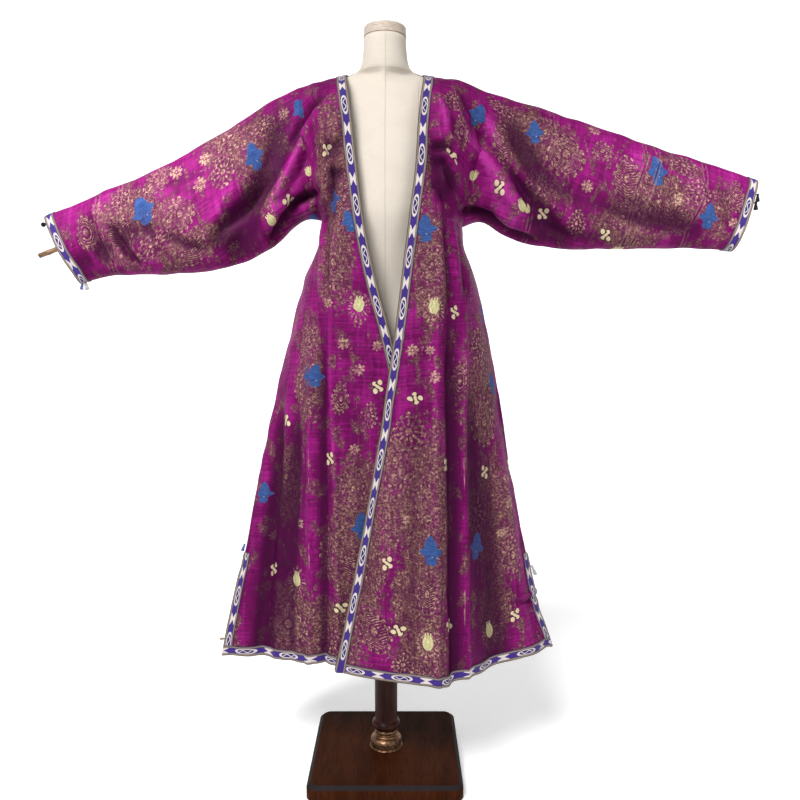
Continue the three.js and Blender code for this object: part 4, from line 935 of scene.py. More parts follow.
# ---------------------------------------------------------------- motifs of the brocade
# Where the woven flowers lie, as seen from the front: x, z, turn in degrees, size.
BLOSSOMS = (
    (90, 530, 2, 1.0),
    (192, 517, -14, 0.95),
    (-46, 560, 8, 1.0),
    (-262, 612, 0, 0.8),
    (80, 1152, 4, 0.95),
    (-140, 866, 0, 0.8),
    (224, 846, 0, 0.85),
    (-495, 1200, 14, 1.0),
    (-265, 1306, 10, 0.95),
    (-170, 1405, 20, 0.8),
    (-154, 1188, -10, 0.7),
    (-66, 1170, 10, 0.75),
    (186, 1388, -10, 0.8),
    (304, 1355, 16, 0.8),
    (555, 1280, 20, 1.0),
    (664, 1192, 10, 0.9),
)
# Seeds in a ring of rays, and bare seeds.
SEEDS = (
    (86, 348, 0, 1.0),
    (222, 338, 6, 1.0),
    (-186, 440, 0, 0.95),
    (-50, 1010, -4, 0.95),
    (96, 1006, 0, 0.95),
)
BARE_SEEDS = (
    (-230, 1182, 25, 0.8),
    (176, 1270, -35, 0.7),
    (491, 1126, -10, 0.9),
    (280, 1210, 40, 0.75),
    (-152, 1280, 20, 0.6),
)
CLOVERS = (
    (212, 668, 0, 1),
    (6, 500, 0, -1),
    (30, 366, 80, 1),
    (132, 376, 30, 1),
    (272, 360, 0, -1),
    (128, 696, 10, 1),
    (-112, 700, 0, -1),
    (-250, 452, 10, -1),
    (-92, 390, 90, 1),
    (-12, 846, 0, -1),
    (58, 826, 60, 1),
    (-196, 1222, 40, 1),
    (-116, 1306, 80, 1),
    (136, 1296, 70, -1),
    (232, 1244, 20, 1),
    (326, 1192, 0, -1),
    (456, 1152, 30, 1),
    (-206, 772, 20, 1),
    (140, 992, 10, -1),
)
STARS = (
    (-596, 1210, 0.9),
    (-428, 1282, 1.0),
    (-366, 1306, 1.0),
    (-376, 1256, 1.1),
    (-206, 1398, 0.9),
    (-312, 1122, 1.1),
    (-108, 1014, 0.8),
    (-80, 930, 0.9),
    (-50, 880, 0.9),
    (98, 868, 0.9),
    (54, 920, 0.9),
    (88, 922, 0.7),
    (256, 592, 1.1),
    (248, 646, 0.9),
    (243, 536, 0.8),
    (-60, 720, 0.8),
    (-180, 560, 0.8),
    (40, 590, 0.7),
    (600, 1225, 1.0),
    (410, 1250, 0.9),
    (430, 1365, 0.9),
    (720, 1180, 0.8),
    (-250, 520, 0.8),
    (-12, 930, 0.8),
)
# Palmettes: x, z, half width, half height, turn, filling (0 net, 1 chevrons, 2 leaf lines, 3 petals).
PALMETTES = (
    (22, 700, 26, 58, 0, 0),
    (80, 620, 24, 44, 0, 0),
    (84, 445, 22, 44, 0, 1),
    (84, 296, 22, 22, 0, 2),
    (196, 592, 34, 46, 0, 3),
    (262, 488, 26, 40, 0, 0),
    (-22, 360, 38, 50, 30, 1),
    (36, 300, 24, 24, 0, 3),
    (-118, 505, 18, 40, 0, 2),
    (-212, 656, 30, 42, 0, 0),
    (-222, 590, 13, 22, 0, 2),
    (-62, 640, 24, 36, 0, 0),
    (-62, 480, 30, 34, 0, 1),
    (-205, 340, 52, 46, 0, 0),
    (-110, 310, 26, 34, 0, 3),
    (192, 926, 34, 40, 0, 3),
    (206, 770, 40, 54, 0, 0),
    (46, 760, 36, 40, 0, 3),
    (130, 600, 18, 56, 0, 1),
    (-160, 935, 20, 34, 0, 2),
    (-172, 845, 22, 34, 0, 0),
    (-96, 1090, 20, 56, 0, 0),
    (-86, 824, 18, 34, 0, 2),
    (-30, 790, 18, 28, 0, 3),
    (90, 1085, 26, 38, 0, 0),
    (62, 1210, 14, 40, 0, 1),
    (-76, 1215, 16, 50, 0, 1),
    (150, 860, 18, 40, 0, 2),
    (-545, 1230, 26, 22, 20, 3),
    (-470, 1266, 38, 26, 25, 0),
    (-548, 1160, 30, 34, 10, 1),
    (-416, 1196, 34, 36, 15, 0),
    (-480, 1132, 44, 26, 20, 3),
    (-395, 1122, 34, 28, 30, 1),
    (-318, 1352, 32, 30, 20, 0),
    (-248, 1376, 24, 22, 20, 3),
    (-328, 1276, 30, 34, 10, 3),
    (-220, 1340, 22, 30, 20, 0),
    (-262, 1240, 24, 26, 10, 1),
    (-618, 1160, 22, 40, 10, 2),
    (236, 1340, 22, 46, 14, 1),
    (236, 1410, 30, 16, -16, 3),
    (364, 1310, 44, 46, 14, 0),
    (492, 1268, 34, 46, 16, 1),
    (612, 1296, 34, 22, 14, 3),
    (488, 1190, 26, 24, 0, 0),
    (548, 1200, 26, 44, 10, 0),
    (394, 1176, 22, 28, 0, 3),
    (440, 1322, 24, 22, 14, 2),
    (318, 1252, 24, 26, 30, 3),
    (140, 1412, 26, 22, 0, 3),
    (150, 1345, 18, 34, 10, 2),
    (724, 1232, 20, 34, 10, 1),
    (640, 1240, 30, 26, 14, 3),
    (612, 1176, 24, 30, 0, 2),
)
# Where gold thread is scattered more thickly: x, z, half width, half height, strength.
FIELDS = (
    (84, 560, 52, 230, 0.9),
    (20, 650, 40, 130, 0.8),
    (232, 560, 62, 150, 0.75),
    (205, 850, 60, 130, 0.75),
    (-55, 520, 62, 190, 0.9),
    (-150, 330, 110, 80, 0.85),
    (-212, 640, 44, 90, 0.85),
    (-160, 880, 30, 120, 0.7),
    (-96, 1110, 40, 120, 0.75),
    (92, 1080, 42, 130, 0.75),
    (66, 1270, 30, 110, 0.6),
    (-92, 1270, 40, 110, 0.7),
    (76, 320, 60, 60, 0.7),
    (44, 430, 30, 80, 0.75),
    (236, 376, 46, 78, 0.75),
    (-212, 352, 40, 84, 0.7),
    (-520, 1195, 78, 56, 0.8),
    (-440, 1185, 40, 46, 0.6),
    (-285, 1325, 95, 56, 0.8),
    (-400, 1125, 110, 34, 0.75),
    (-250, 1250, 46, 60, 0.6),
    (-560, 1128, 50, 40, 0.55),
    (285, 1350, 62, 70, 0.8),
    (350, 1335, 48, 44, 0.7),
    (555, 1232, 100, 56, 0.8),
    (490, 1160, 78, 42, 0.75),
    (335, 1235, 46, 36, 0.5),
    (690, 1200, 26, 66, 0.65),
    (610, 1292, 62, 22, 0.6),
)
# The back's woven motifs stand in columns, half a repeat apart: x, then the height of the first blossom.
BACK_STEMS = ((-330, 330), (-220, 560), (-110, 330), (0, 560), (110, 330), (220, 560), (330, 330))
BACK_REPEAT = 440
BACK_SLEEVES_FROM = 1050  # above this height the stems beside the back give way to the sleeves' own
BACK_HALF = 180
BACK_SLEEVE_STEMS = (
    (-600, 1150),
    (-480, 1160),
    (-360, 1220),
    (-250, 1270),
    (260, 1300),
    (380, 1240),
    (500, 1220),
    (620, 1200),
)


def back_motifs():
    """The motifs of the back, in the same groups as the front's."""
    made = {"blossom": [], "seed": [], "bare": [], "clover": [], "star": [], "palm": [], "field": []}

    def stem(x, z, flip):
        made["blossom"].append((x, z, 4 * flip, 0.95))
        made["palm"].append((x, z + 96, 34, 56, 0, 0))
        made["palm"].append((x - 46, z + 20, 18, 38, 12, 2))
        made["palm"].append((x + 46, z + 20, 18, 38, -12, 3))
        made["palm"].append((x, z - 70, 24, 34, 0, 1))
        made["clover"].append((x - 52, z - 100, 20 * flip, flip))
        made["star"].append((x + 54, z + 90, 0.9))
        made["star"].append((x - 50, z + 120, 0.8))
        made["field"].append((x, z + 40, 52, 150, 0.8))

    for k, (x, first) in enumerate(BACK_STEMS):
        flip = 1 if k % 2 else -1
        for row in range(-1, 4):
            z = first + row * BACK_REPEAT
            if z > BACK_SLEEVES_FROM and abs(x) > BACK_HALF:
                continue
            stem(x, z, flip)
            made["seed"].append((x, z - 190, 0, 0.95))
            made["clover"].append((x + 52, z - 176, -10, -flip))
    for k, (x, z) in enumerate(BACK_SLEEVE_STEMS):
        flip = 1 if k % 2 else -1
        made["blossom"].append((x, z, 12 * flip, 0.9))
        made["palm"].append((x, z + 66, 32, 28, 0, 3))
        made["palm"].append((x - 52, z + 26, 20, 34, 10, 1))
        made["palm"].append((x + 4, z - 56, 30, 22, 0, 0))
        made["star"].append((x + 48, z + 34, 0.9))
        made["clover"].append((x + 50, z - 36, 20, flip))
        made["field"].append((x, z, 60, 90, 0.7))
    return made


FRONT_MOTIFS = {
    "blossom": BLOSSOMS,
    "seed": SEEDS,
    "bare": BARE_SEEDS,
    "clover": CLOVERS,
    "star": STARS,
    "palm": PALMETTES,
    "field": FIELDS,
}
MOTIFS = {-1: FRONT_MOTIFS, 1: back_motifs()}
# How far each kind reaches from its middle, in mm, at size 1.
REACH = {"blossom": 46, "seed": 66, "bare": 28, "clover": 32, "star": 26}
# Joins across the sleeves, where narrow lengths of silk meet: x, z from the top down.
SLEEVE_JOINS = (
    ((342, 1346), (334, 1313), (318, 1270), (302, 1227), (292, 1150)),
    ((533, 1305), (517, 1256), (508, 1202), (497, 1149), (486, 1090)),
    ((560, 1297), (545, 1243), (531, 1202), (516, 1149), (504, 1090)),
    ((661, 1270), (654, 1227), (630, 1168), (621, 1122), (610, 1080)),
    ((-596, 1195), (-594, 1161), (-582, 1123), (-563, 1096)),
    ((-547, 1226), (-547, 1180), (-531, 1138), (-497, 1085)),
)
FAR = (99.0, 99.0, -100.0)  # given to points that lie outside every motif of a kind
MOTIF_SNAP = 14  # a motif belongs to a piece whose cloth comes this near to its middle
PALMETTE_GAP = 14  # how far round a palmette the ground is kept
FIELD_EDGE = 1.25  # a field of scattered gold ends at this share of its size, and fades over the next
FIELD_FADE = 0.6
OUT_OF_REACH = 1e4
NO_WIDTH = 0.02  # a face narrower than this is left out


# ---------------------------------------------------------------- cloth pieces
def cloth_ways(rows, middle):
    """How far each point lies along its row from a column, and up from the hem, in mm."""
    steps = np.linalg.norm(np.diff(rows, axis=1), axis=2)
    u = np.concatenate([np.zeros((rows.shape[0], 1)), np.cumsum(steps, axis=1)], axis=1)
    u = u - u[np.arange(rows.shape[0]), middle][:, None]
    climbs = np.linalg.norm(np.diff(rows, axis=0), axis=2)
    v = np.concatenate([np.zeros((1, rows.shape[1])), np.cumsum(climbs, axis=0)], axis=0)
    return u, v


def nearest_column(rows, x):
    """The column of each row that comes nearest to x."""
    return np.argmin(np.abs(rows[..., 0] - x), axis=1)


# Ways over the smooth cloth, so that a fold in it doesn't shift the weave.
ways = {name: cloth_ways(grids[name], nearest_column(grids[name], x)) for name, x in WEAVE_FROM.items()}
for side in SIGNS:
    rows = grids["sleeve_" + side]
    closed = np.concatenate([rows, rows[:, :1]], axis=1)
    around, way_along = cloth_ways(closed, np.full(len(rows), ARM_STEPS + TAPE_STEPS))
    ways["sleeve_" + side] = (way_along, around)


def drawn_in(points, sides, distance):
    """Draws the named edges of a patch in towards the points next to them."""
    made = points.copy()

    def pull(edge, inner):
        step = inner - edge
        length = np.maximum(np.linalg.norm(step, axis=1, keepdims=True), 1e-6)
        return edge + step * np.minimum(distance / length, 0.3)

    if "start" in sides:
        made[0] = pull(points[0], points[1])
    if "end" in sides:
        made[-1] = pull(points[-1], points[-2])
    if "first" in sides:
        made[:, 0] = pull(points[:, 0], points[:, 1])
    if "last" in sides:
        made[:, -1] = pull(points[:, -1], points[:, -2])
    return made


def new_object(name, vertices, faces):
    """A piece of the part, in metres, from points in mm."""
    mesh = bpy.data.meshes.new(name)
    mesh.from_pydata([tuple(p) for p in np.asarray(vertices) * MM], [], [tuple(map(int, f)) for f in faces])
    mesh.polygons.foreach_set("use_smooth", [True] * len(mesh.polygons))
    mesh.validate()
    piece = bpy.data.objects.new(name, mesh)
    bpy.context.scene.collection.objects.link(piece)
    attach(piece, "root")
    return piece


def grid_faces(height, width, turn, ring):
    """Quads between the points of a grid, which closes on itself where it is a ring."""
    columns = width if ring else width - 1
    j = np.repeat(np.arange(height - 1), columns)
    i = np.tile(np.arange(columns), height - 1)
    a = j * width + i
    b = j * width + (i + 1) % width
    quads = np.stack([a, b, b + width, a + width], axis=1)
    return quads if turn > 0 else quads[:, ::-1]


def corner_numbers(mesh):
    """The point that each corner of each face stands on."""
    corners = np.empty(len(mesh.loops), dtype=np.int64)
    mesh.loops.foreach_get("vertex_index", corners)
    return corners


def set_uv(mesh, name, uv):
    layer = mesh.uv_layers.new(name=name)
    layer.data.foreach_set("uv", np.asarray(uv, dtype=np.float32).reshape(-1))


def grid_patch(grid, row_range, column_range, edges, lift):
    """Points and faces of a patch of a grid, moved out from it by lift, and its number of columns."""
    ring = grid.startswith("sleeve")
    (r0, r1), (c0, c1) = row_range, column_range
    points = drawn_in(shapes[grid][r0 : r1 + 1, c0 : c1 + 1], edges, SEAM if lift else SEAM / 2)
    points = points + normals[grid][r0 : r1 + 1, c0 : c1 + 1] * lift
    height, width = points.shape[:2]
    faces = grid_faces(height, width, TURNS[grid], ring)
    flat = points.reshape(-1, 3)
    a, b, c, d = (flat[faces[:, k]] for k in range(4))
    # The rows of a gore run together at the armpit, where quads without any width are left out.
    wide = np.maximum(np.linalg.norm(b - a, axis=1), np.linalg.norm(c - d, axis=1)) > NO_WIDTH
    tall = np.maximum(np.linalg.norm(d - a, axis=1), np.linalg.norm(c - b, axis=1)) > NO_WIDTH
    return flat, faces[wide & tall], width


def ring_columns(corner, width):
    """The column of each face corner of a ring, counted on past the last one where the ring closes."""
    column = corner % width
    by_face = column.reshape(-1, 4)
    closing = (by_face.max(axis=1) - by_face.min(axis=1)) > 1
    past = np.repeat(closing, 4) & (column == 0)
    return np.where(past, width, column)


def sharpen_rim(mesh):
    """Keeps the shading of a patch from running round its edges."""
    edges = np.empty(len(mesh.loops), dtype=np.int64)
    mesh.loops.foreach_get("edge_index", edges)
    on_rim = np.bincount(edges, minlength=len(mesh.edges)) == 1
    layer = mesh.attributes.new("sharp_edge", "BOOLEAN", "EDGE")
    layer.data.foreach_set("value", on_rim)


def thicken(piece, wall):
    """Gives a patch its wall, on its inner side."""
    thick = piece.modifiers.new("thickness", "SOLIDIFY")
    thick.thickness = wall * MM
    thick.offset = -1
    thick.use_even_offset = False


def turned_away(du, dv, degrees):
    """Offsets from a motif's middle, in the motif's own turned axes."""
    angle = math.radians(degrees)
    return du * math.cos(angle) + dv * math.sin(angle), dv * math.cos(angle) - du * math.sin(angle)


def store(mesh, name, kind, values):
    """Keeps a number ("FLOAT") or three ("FLOAT_VECTOR") for each point of a mesh."""
    layer = mesh.attributes.new(name, kind, "POINT")
    slot = "value" if kind == "FLOAT" else "vector"
    layer.data.foreach_set(slot, values.astype(np.float32).reshape(-1))


def place_motifs(piece, grid, row_range, column_range):
    """Gives each point its offset from the nearest motif of each kind, and the strength of the gold there."""
    (r0, r1), (c0, c1) = row_range, column_range
    rows = grids[grid][r0 : r1 + 1, c0 : c1 + 1]
    facing = normals[grid][r0 : r1 + 1, c0 : c1 + 1, 1]
    u, v = (way[r0 : r1 + 1, c0 : c1 + 1][:, : rows.shape[1]] for way in ways[grid])
    kinds = {
        kind: np.tile(FAR, rows.shape[:2] + (1,)) for kind in ("blossom", "seed", "clover", "star", "palm")
    }
    nearest = {kind: np.full(rows.shape[:2], FAR[0]) for kind in kinds}
    field = np.zeros(rows.shape[:2])
    flip = -1 if grid in ("right", "sleeve_right") else 1

    def offsets(x, z, face):
        """How far each point lies to the side of and above a motif's middle, or None where it isn't here."""
        off = np.hypot(rows[..., 0] - x, rows[..., 2] - z) + np.where(facing * face > 0, 0, OUT_OF_REACH)
        at = np.unravel_index(np.argmin(off), off.shape)
        return ((u - u[at]) * flip * -face, v - v[at]) if off[at] < MOTIF_SNAP else None

    def offer(kind, p, q, reach, code):
        """Takes a motif for the points that lie in it and in no nearer one."""
        off = np.hypot(p, q) / reach
        better = (off < nearest[kind]) & (off < 1)
        nearest[kind][better] = off[better]
        for axis, value in enumerate((p, q, np.full_like(p, code))):
            kinds[kind][..., axis][better] = value[better]

    for face, groups in MOTIFS.items():
        heads = [("blossom", x, z, turn, size, 1) for x, z, turn, size in groups["blossom"]]
        heads += [("seed", x, z, turn, size, 1) for x, z, turn, size in groups["seed"]]
        heads += [("bare", x, z, turn, size, 1) for x, z, turn, size in groups["bare"]]
        heads += [("clover", x, z, turn, 1, mirror) for x, z, turn, mirror in groups["clover"]]
        heads += [("star", x, z, 0, size, 1) for x, z, size in groups["star"]]
        for kind, x, z, turn, size, mirror in heads:
            away = offsets(x, z, face)
            if away is None:
                continue
            p, q = turned_away(*away, turn)
            target, code = ("seed", 1.0) if kind == "bare" else (kind, 0.0)
            offer(target, p * mirror / size, q / size, REACH[kind], code)
        for x, z, half, tall, turn, filling in groups["palm"]:
            away = offsets(x, z, face)
            if away is None:
                continue
            p, q = turned_away(*away, turn)
            offer("palm", p / half, q / tall, 1 + PALMETTE_GAP / min(half, tall), float(filling))
        for x, z, half, tall, strength in groups["field"]:
            away = offsets(x, z, face)
            if away is None:
                off = np.hypot((rows[..., 0] - x) / half, (rows[..., 2] - z) / tall)
                on_face = facing * face > 0
            else:
                off = np.hypot(away[0] / half, away[1] / tall)
                on_face = True
            here = clamp01((FIELD_EDGE - off) / FIELD_FADE) * strength
            field = np.where(on_face, np.maximum(field, here), field)
    for kind, values in kinds.items():
        store(piece.data, kind, "FLOAT_VECTOR", values)
    store(piece.data, "field", "FLOAT", field)


def place_seams(piece, grid, row_range, column_range):
    """Gives each point the height of its folds, and its distance from a front's seam and a sleeve's join."""
    (r0, r1), (c0, c1) = row_range, column_range
    rows = grids[grid][r0 : r1 + 1, c0 : c1 + 1]
    seam = np.full(rows.shape[:2], FAR[0])
    join = np.full(rows.shape[:2], FAR[0])
    if grid.startswith("sleeve"):
        for line in SLEEVE_JOINS:
            heights, places = zip(*sorted((z, x) for x, z in line))
            join = np.minimum(join, np.abs(rows[..., 0] - np.interp(rows[..., 2], heights, places)))
    elif grid != "back":
        u = ways[grid][0][r0 : r1 + 1]
        seam = np.abs(u[:, c0 : c1 + 1] - u[:, FRONT_SEAM][:, None])
    store(piece.data, "hollow", "FLOAT", hollows[grid][r0 : r1 + 1, c0 : c1 + 1])
    store(piece.data, "seam", "FLOAT", seam)
    store(piece.data, "join", "FLOAT", join)


def flat_cut(grid, row_range, column_range):
    """Width and length of the cut before it was hung, and its area: the unfolded patch, in metres."""
    (r0, r1), (c0, c1) = row_range, column_range
    rows = grids[grid][r0 : r1 + 1, c0 : c1 + 1]
    if grid.startswith("sleeve"):
        rows = np.concatenate([rows, rows[:, :1]], axis=1)
    down, over = rows[1:, :-1] - rows[:-1, 1:], rows[1:, 1:] - rows[:-1, :-1]
    area = np.linalg.norm(np.cross(down, over), axis=-1).sum() / 2 * MM * MM
    wide = np.linalg.norm(np.diff(rows, axis=1), axis=2).sum(axis=1).max() * MM
    tall = np.linalg.norm(np.diff(rows, axis=0), axis=2).sum(axis=0).max() * MM
    return wide, tall, area


pieces = {}
ALL_ROWS = (0, TOP_ROW)
LAST = len(FRONT_INDEX) - 1
FIRST_EDGE = FRONT_STEPS[0]
LAST_EDGE = LAST - GORE_STEPS[-1]


def cut_patch(name, grid, row_range, column_range, edges, lift):
    """A piece over a patch of a grid: with the row and column in the grid of each corner of its faces."""
    flat, faces, width = grid_patch(grid, row_range, column_range, edges, lift)
    piece = new_object(name, flat, faces)
    corner = corner_numbers(piece.data)
    column = ring_columns(corner, width) if grid.startswith("sleeve") else corner % width
    return piece, corner // width + row_range[0], column + column_range[0]


def sew(node, piece, grid, row_range, column_range, wall):
    """Gives a patch its wall, and notes which node it stands for; the size of its cut laid flat is worked
    out, but not kept.
    """
    sharpen_rim(piece.data)
    thicken(piece, wall)
    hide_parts(node)
    pieces[node] = piece
    flat_cut(grid, row_range, column_range)


def cloth(node, grid, row_range, column_range, edges):
    """A piece of silk."""
    piece, row, column = cut_patch(node + "_cloth", grid, row_range, column_range, edges, 0)
    u, v = ways[grid]
    set_uv(piece.data, "cloth", np.stack([u[row, column], v[row, column]], axis=1) * MM)
    place_motifs(piece, grid, row_range, column_range)
    place_seams(piece, grid, row_range, column_range)
    sew(node, piece, grid, row_range, column_range, CLOTH)


def tape(node, grid, row_range, column_range, edges, lies, from_end, start):
    """A length of woven tape on the silk.

    It lies "up" where its columns cross it and "round" where its rows do. Its pattern's width is counted from
    the first of them, or from_end, and start moves the pattern along.
    """
    lift = TAPE_GAP + TAPE_WALL
    piece, row, column = cut_patch(node + "_woven", grid, row_range, column_range, edges, lift)
    u, v = ways[grid]
    if lies == "up":
        across = (column - column_range[0]) / (column_range[1] - column_range[0])
        along_tape = v[row, column]
    else:
        across = (row - row_range[0]) / (row_range[1] - row_range[0])
        along_tape = (v if grid.startswith("sleeve") else u)[row, column]
    if from_end:
        across = 1 - across
    set_uv(piece.data, "tape", np.stack([along_tape + start, across * TAPE_WIDTH], axis=1) * MM)
    sew(node, piece, grid, row_range, column_range, TAPE_WALL)


ALONG_HEM = 1000  # a hem's pattern starts this far along it, so that no part of it is counted below 0
FIRST_TAPE = (0, FIRST_EDGE)
LAST_TAPE = (LAST_EDGE, LAST)
HEM_RANGE = (0, HEM_STEPS)
SLIT_RANGE = (HEM_STEPS, SLIT_ROW)
for side, start in (("left", 22), ("right", 50)):
    cloth(f"front_panel_{side}", side, ALL_ROWS, (0, FRONT_SEAM), ("last", "end"))
    cloth(f"front_gore_{side}", side, (0, ARMPIT_ROW), (FRONT_SEAM, LAST), ("first", "last", "end"))
    tape(f"tape_front_{side}", side, ALL_ROWS, FIRST_TAPE, ("end",), "up", False, 0)
    hem_start = ALONG_HEM + start
    tape(f"tape_hem_front_{side}", side, HEM_RANGE, (FIRST_EDGE, LAST), ("first",), "round", False, hem_start)
    tape(f"tape_slit_front_{side}", side, SLIT_RANGE, LAST_TAPE, ("start",), "up", True, 20)

BACK_LAST = len(BACK_INDEX) - 1
NECK_START = PANEL_START + FRONT_SEAM
NECK_RANGE = (NECK_START, NECK_START + len(NECK_FINE) - 1)
TOP_RANGE = (TAPE_ROW, TOP_ROW)
LEFT_SLIT = (BACK_LAST - GORE_STEPS[-1], BACK_LAST)
cloth("back_panel", "back", ALL_ROWS, (PANEL_START, PANEL_END), ("first", "last", "end"))
cloth("back_gore_right", "back", (0, ARMPIT_ROW), (0, PANEL_START), ("first", "last", "end"))
cloth("back_gore_left", "back", (0, ARMPIT_ROW), (PANEL_END, BACK_LAST), ("first", "last", "end"))
tape("tape_hem_back", "back", HEM_RANGE, (0, BACK_LAST), (), "round", False, ALONG_HEM)
tape("tape_slit_back_right", "back", SLIT_RANGE, (0, GORE_STEPS[-1]), ("start",), "up", False, 20)
tape("tape_slit_back_left", "back", SLIT_RANGE, LEFT_SLIT, ("start",), "up", True, 20)
tape("tape_neck_back", "back", TOP_RANGE, NECK_RANGE, ("first", "last"), "round", True, ALONG_HEM)

for side in SIGNS:
    grid = "sleeve_" + side
    width = shapes[grid].shape[1]
    last_row = len(shapes[grid]) - 1
    ends = [0, sum(SLEEVE_STEPS[:2]), sum(SLEEVE_STEPS[:4]), sum(SLEEVE_STEPS[:6]), last_row]
    for k, part in enumerate(SLEEVE_PIECES):
        edges = ("start", "end") if part != "cuff" else ("start",)
        cloth(f"sleeve_{part}_{side}", grid, (ends[k], ends[k + 1]), (0, width), edges)
    tape(f"tape_cuff_{side}", grid, (last_row - HEM_STEPS, last_row), (0, width), (), "round", True, 1030)


# ---------------------------------------------------------------- materials: numbers as nodes
def plug(tree, value, socket):
    """Links a varying number to a socket, or sets a fixed one on it."""
    if isinstance(value, Val):
        tree.links.new(value.source, socket)
    else:
        socket.default_value = value


class Val:
    """A number that varies over a surface: an output of a material's nodes, with ordinary arithmetic."""

    def __init__(self, tree, source):
        self.tree = tree
        self.source = source

    def math(self, operation, *others):
        node = self.tree.nodes.new("ShaderNodeMath")
        node.operation = operation
        for k, value in enumerate((self, *others)):
            plug(self.tree, value, node.inputs[k])
        return Val(self.tree, node.outputs[0])

    def __add__(self, other):
        return self.math("ADD", other)

    __radd__ = __add__

    def __sub__(self, other):
        return self.math("SUBTRACT", other)

    def __rsub__(self, other):
        return (self * -1) + other

    def __mul__(self, other):
        return self.math("MULTIPLY", other)

    __rmul__ = __mul__

    def __truediv__(self, other):
        return self.math("DIVIDE", other)

    def __abs__(self):
        return self.math("ABSOLUTE")

    def power(self, other):
        return self.math("POWER", other)

    def root(self):
        return self.math("SQRT")

    def sin(self):
        return self.math("SINE")

    def cos(self):
        return self.math("COSINE")

    def fract(self):
        return self.math("FRACT")

    def lowest(self, other):
        return self.math("MINIMUM", other)

    def highest(self, other):
        return self.math("MAXIMUM", other)

    def near(self, other, reach=0.5):
        return self.math("COMPARE", other, reach)

    def ramp(self, low, high):
        """0 below low and 1 above high, and smooth between (high may be the smaller)."""
        node = self.tree.nodes.new("ShaderNodeMapRange")
        node.interpolation_type = "SMOOTHSTEP"
        self.tree.links.new(self.source, node.inputs[0])
        values = (low, high, 0, 1) if low < high else (high, low, 1, 0)
        for k, value in enumerate(values):
            node.inputs[k + 1].default_value = value
        return Val(self.tree, node.outputs[0])

    def band(self, middle, outer, inner):
        """1 within inner of a middle, and 0 beyond outer."""
        return abs(self - middle).ramp(outer, inner)

    def from_half(self):
        """How far the fraction lies from a half: 0 midway between whole numbers, and 0.5 at them."""
        return abs(self.fract() - 0.5)

    def wave(self, length):
        """A sine wave, one for each length of it."""
        return (self * (2 * math.pi / length)).sin()


def angle_of(y, x):
    """The angle in radians at which a point lies round the origin."""
    return y.math("ARCTAN2", x)


class Finish:
    """A material in the making: its nodes, and short ways to add textures and mix colours."""

    def __init__(self, name):
        self.material = bpy.data.materials.new(name)
        self.material.use_nodes = True
        self.tree = self.material.node_tree
        self.shader = self.tree.nodes["Principled BSDF"]

    def node(self, kind):
        return self.tree.nodes.new(kind)

    def uv(self, name):
        """The two ways over the cloth, in mm."""
        node = self.node("ShaderNodeUVMap")
        node.uv_map = name
        u, v, _ = self.split(node.outputs[0])
        return u * 1000.0, v * 1000.0

    def place(self):
        """Where the point is on the piece, in mm."""
        x, y, z = self.split(self.node("ShaderNodeTexCoord").outputs["Object"])
        return x * 1000.0, y * 1000.0, z * 1000.0

    def split(self, vector):
        """The three numbers of a vector."""
        node = self.node("ShaderNodeSeparateXYZ")
        self.tree.links.new(vector, node.inputs[0])
        return tuple(Val(self.tree, output) for output in node.outputs)

    def vector(self, x, y, z=0.0):
        node = self.node("ShaderNodeCombineXYZ")
        for k, value in enumerate((x, y, z)):
            plug(self.tree, value, node.inputs[k])
        return node.outputs[0]

    def attribute(self, name, output):
        """What a piece keeps for each of its points: "Fac" for a number, "Vector" for three."""
        node = self.node("ShaderNodeAttribute")
        node.attribute_name = name
        return node.outputs[output]

    def number(self, name):
        return Val(self.tree, self.attribute(name, "Fac"))

    def motif(self, kind):
        """Where the point lies in the nearest motif of a kind, the motif's code, and whether there is one."""
        p, q, code = self.split(self.attribute(kind, "Vector"))
        return p, q, code, code.ramp(-0.6, -0.4)

    def noise(self, x, y, z=0.0, detail=2.0, roughness=0.5):
        """Clouds from 0 to 1 around 0.5, about one step of x, y and z across."""
        node = self.node("ShaderNodeTexNoise")
        node.inputs["Scale"].default_value = 1.0
        node.inputs["Detail"].default_value = detail
        node.inputs["Roughness"].default_value = roughness
        self.tree.links.new(self.vector(x, y, z), node.inputs["Vector"])
        return Val(self.tree, node.outputs[0])

    def cells(self, x, y, z=0.0):
        """Distance to the nearest of scattered points, about one for each step of x, y and z."""
        node = self.node("ShaderNodeTexVoronoi")
        node.inputs["Scale"].default_value = 1.0
        self.tree.links.new(self.vector(x, y, z), node.inputs["Vector"])
        return Val(self.tree, node.outputs["Distance"])

    def blend(self, a, b, share):
        """Colour a where share is 0, and b where it is 1."""
        node = self.node("ShaderNodeMix")
        node.data_type = "RGBA"
        self.tree.links.new(share.source, node.inputs[0])
        for socket, colour in ((node.inputs[6], a), (node.inputs[7], b)):
            if isinstance(colour, tuple):
                socket.default_value = (*colour, 1)
            else:
                self.tree.links.new(colour, socket)
        return node.outputs[2]

    def finish(self, colour, roughness, height=None, metallic=None, **fixed):
        """Connects the colour, roughness and height (in mm), and sets numbers that are the same all over."""
        self.tree.links.new(colour, self.shader.inputs["Base Color"])
        plug(self.tree, roughness, self.shader.inputs["Roughness"])
        if metallic is not None:
            self.tree.links.new(metallic.source, self.shader.inputs["Metallic"])
        if height is not None:
            bump = self.node("ShaderNodeBump")
            bump.inputs["Strength"].default_value = 1.0
            bump.inputs["Distance"].default_value = MM
            self.tree.links.new(height.source, bump.inputs["Height"])
            self.tree.links.new(bump.outputs[0], self.shader.inputs["Normal"])
        for name, value in fixed.items():
            self.shader.inputs[name.replace("_", " ")].default_value = value
        return self.material


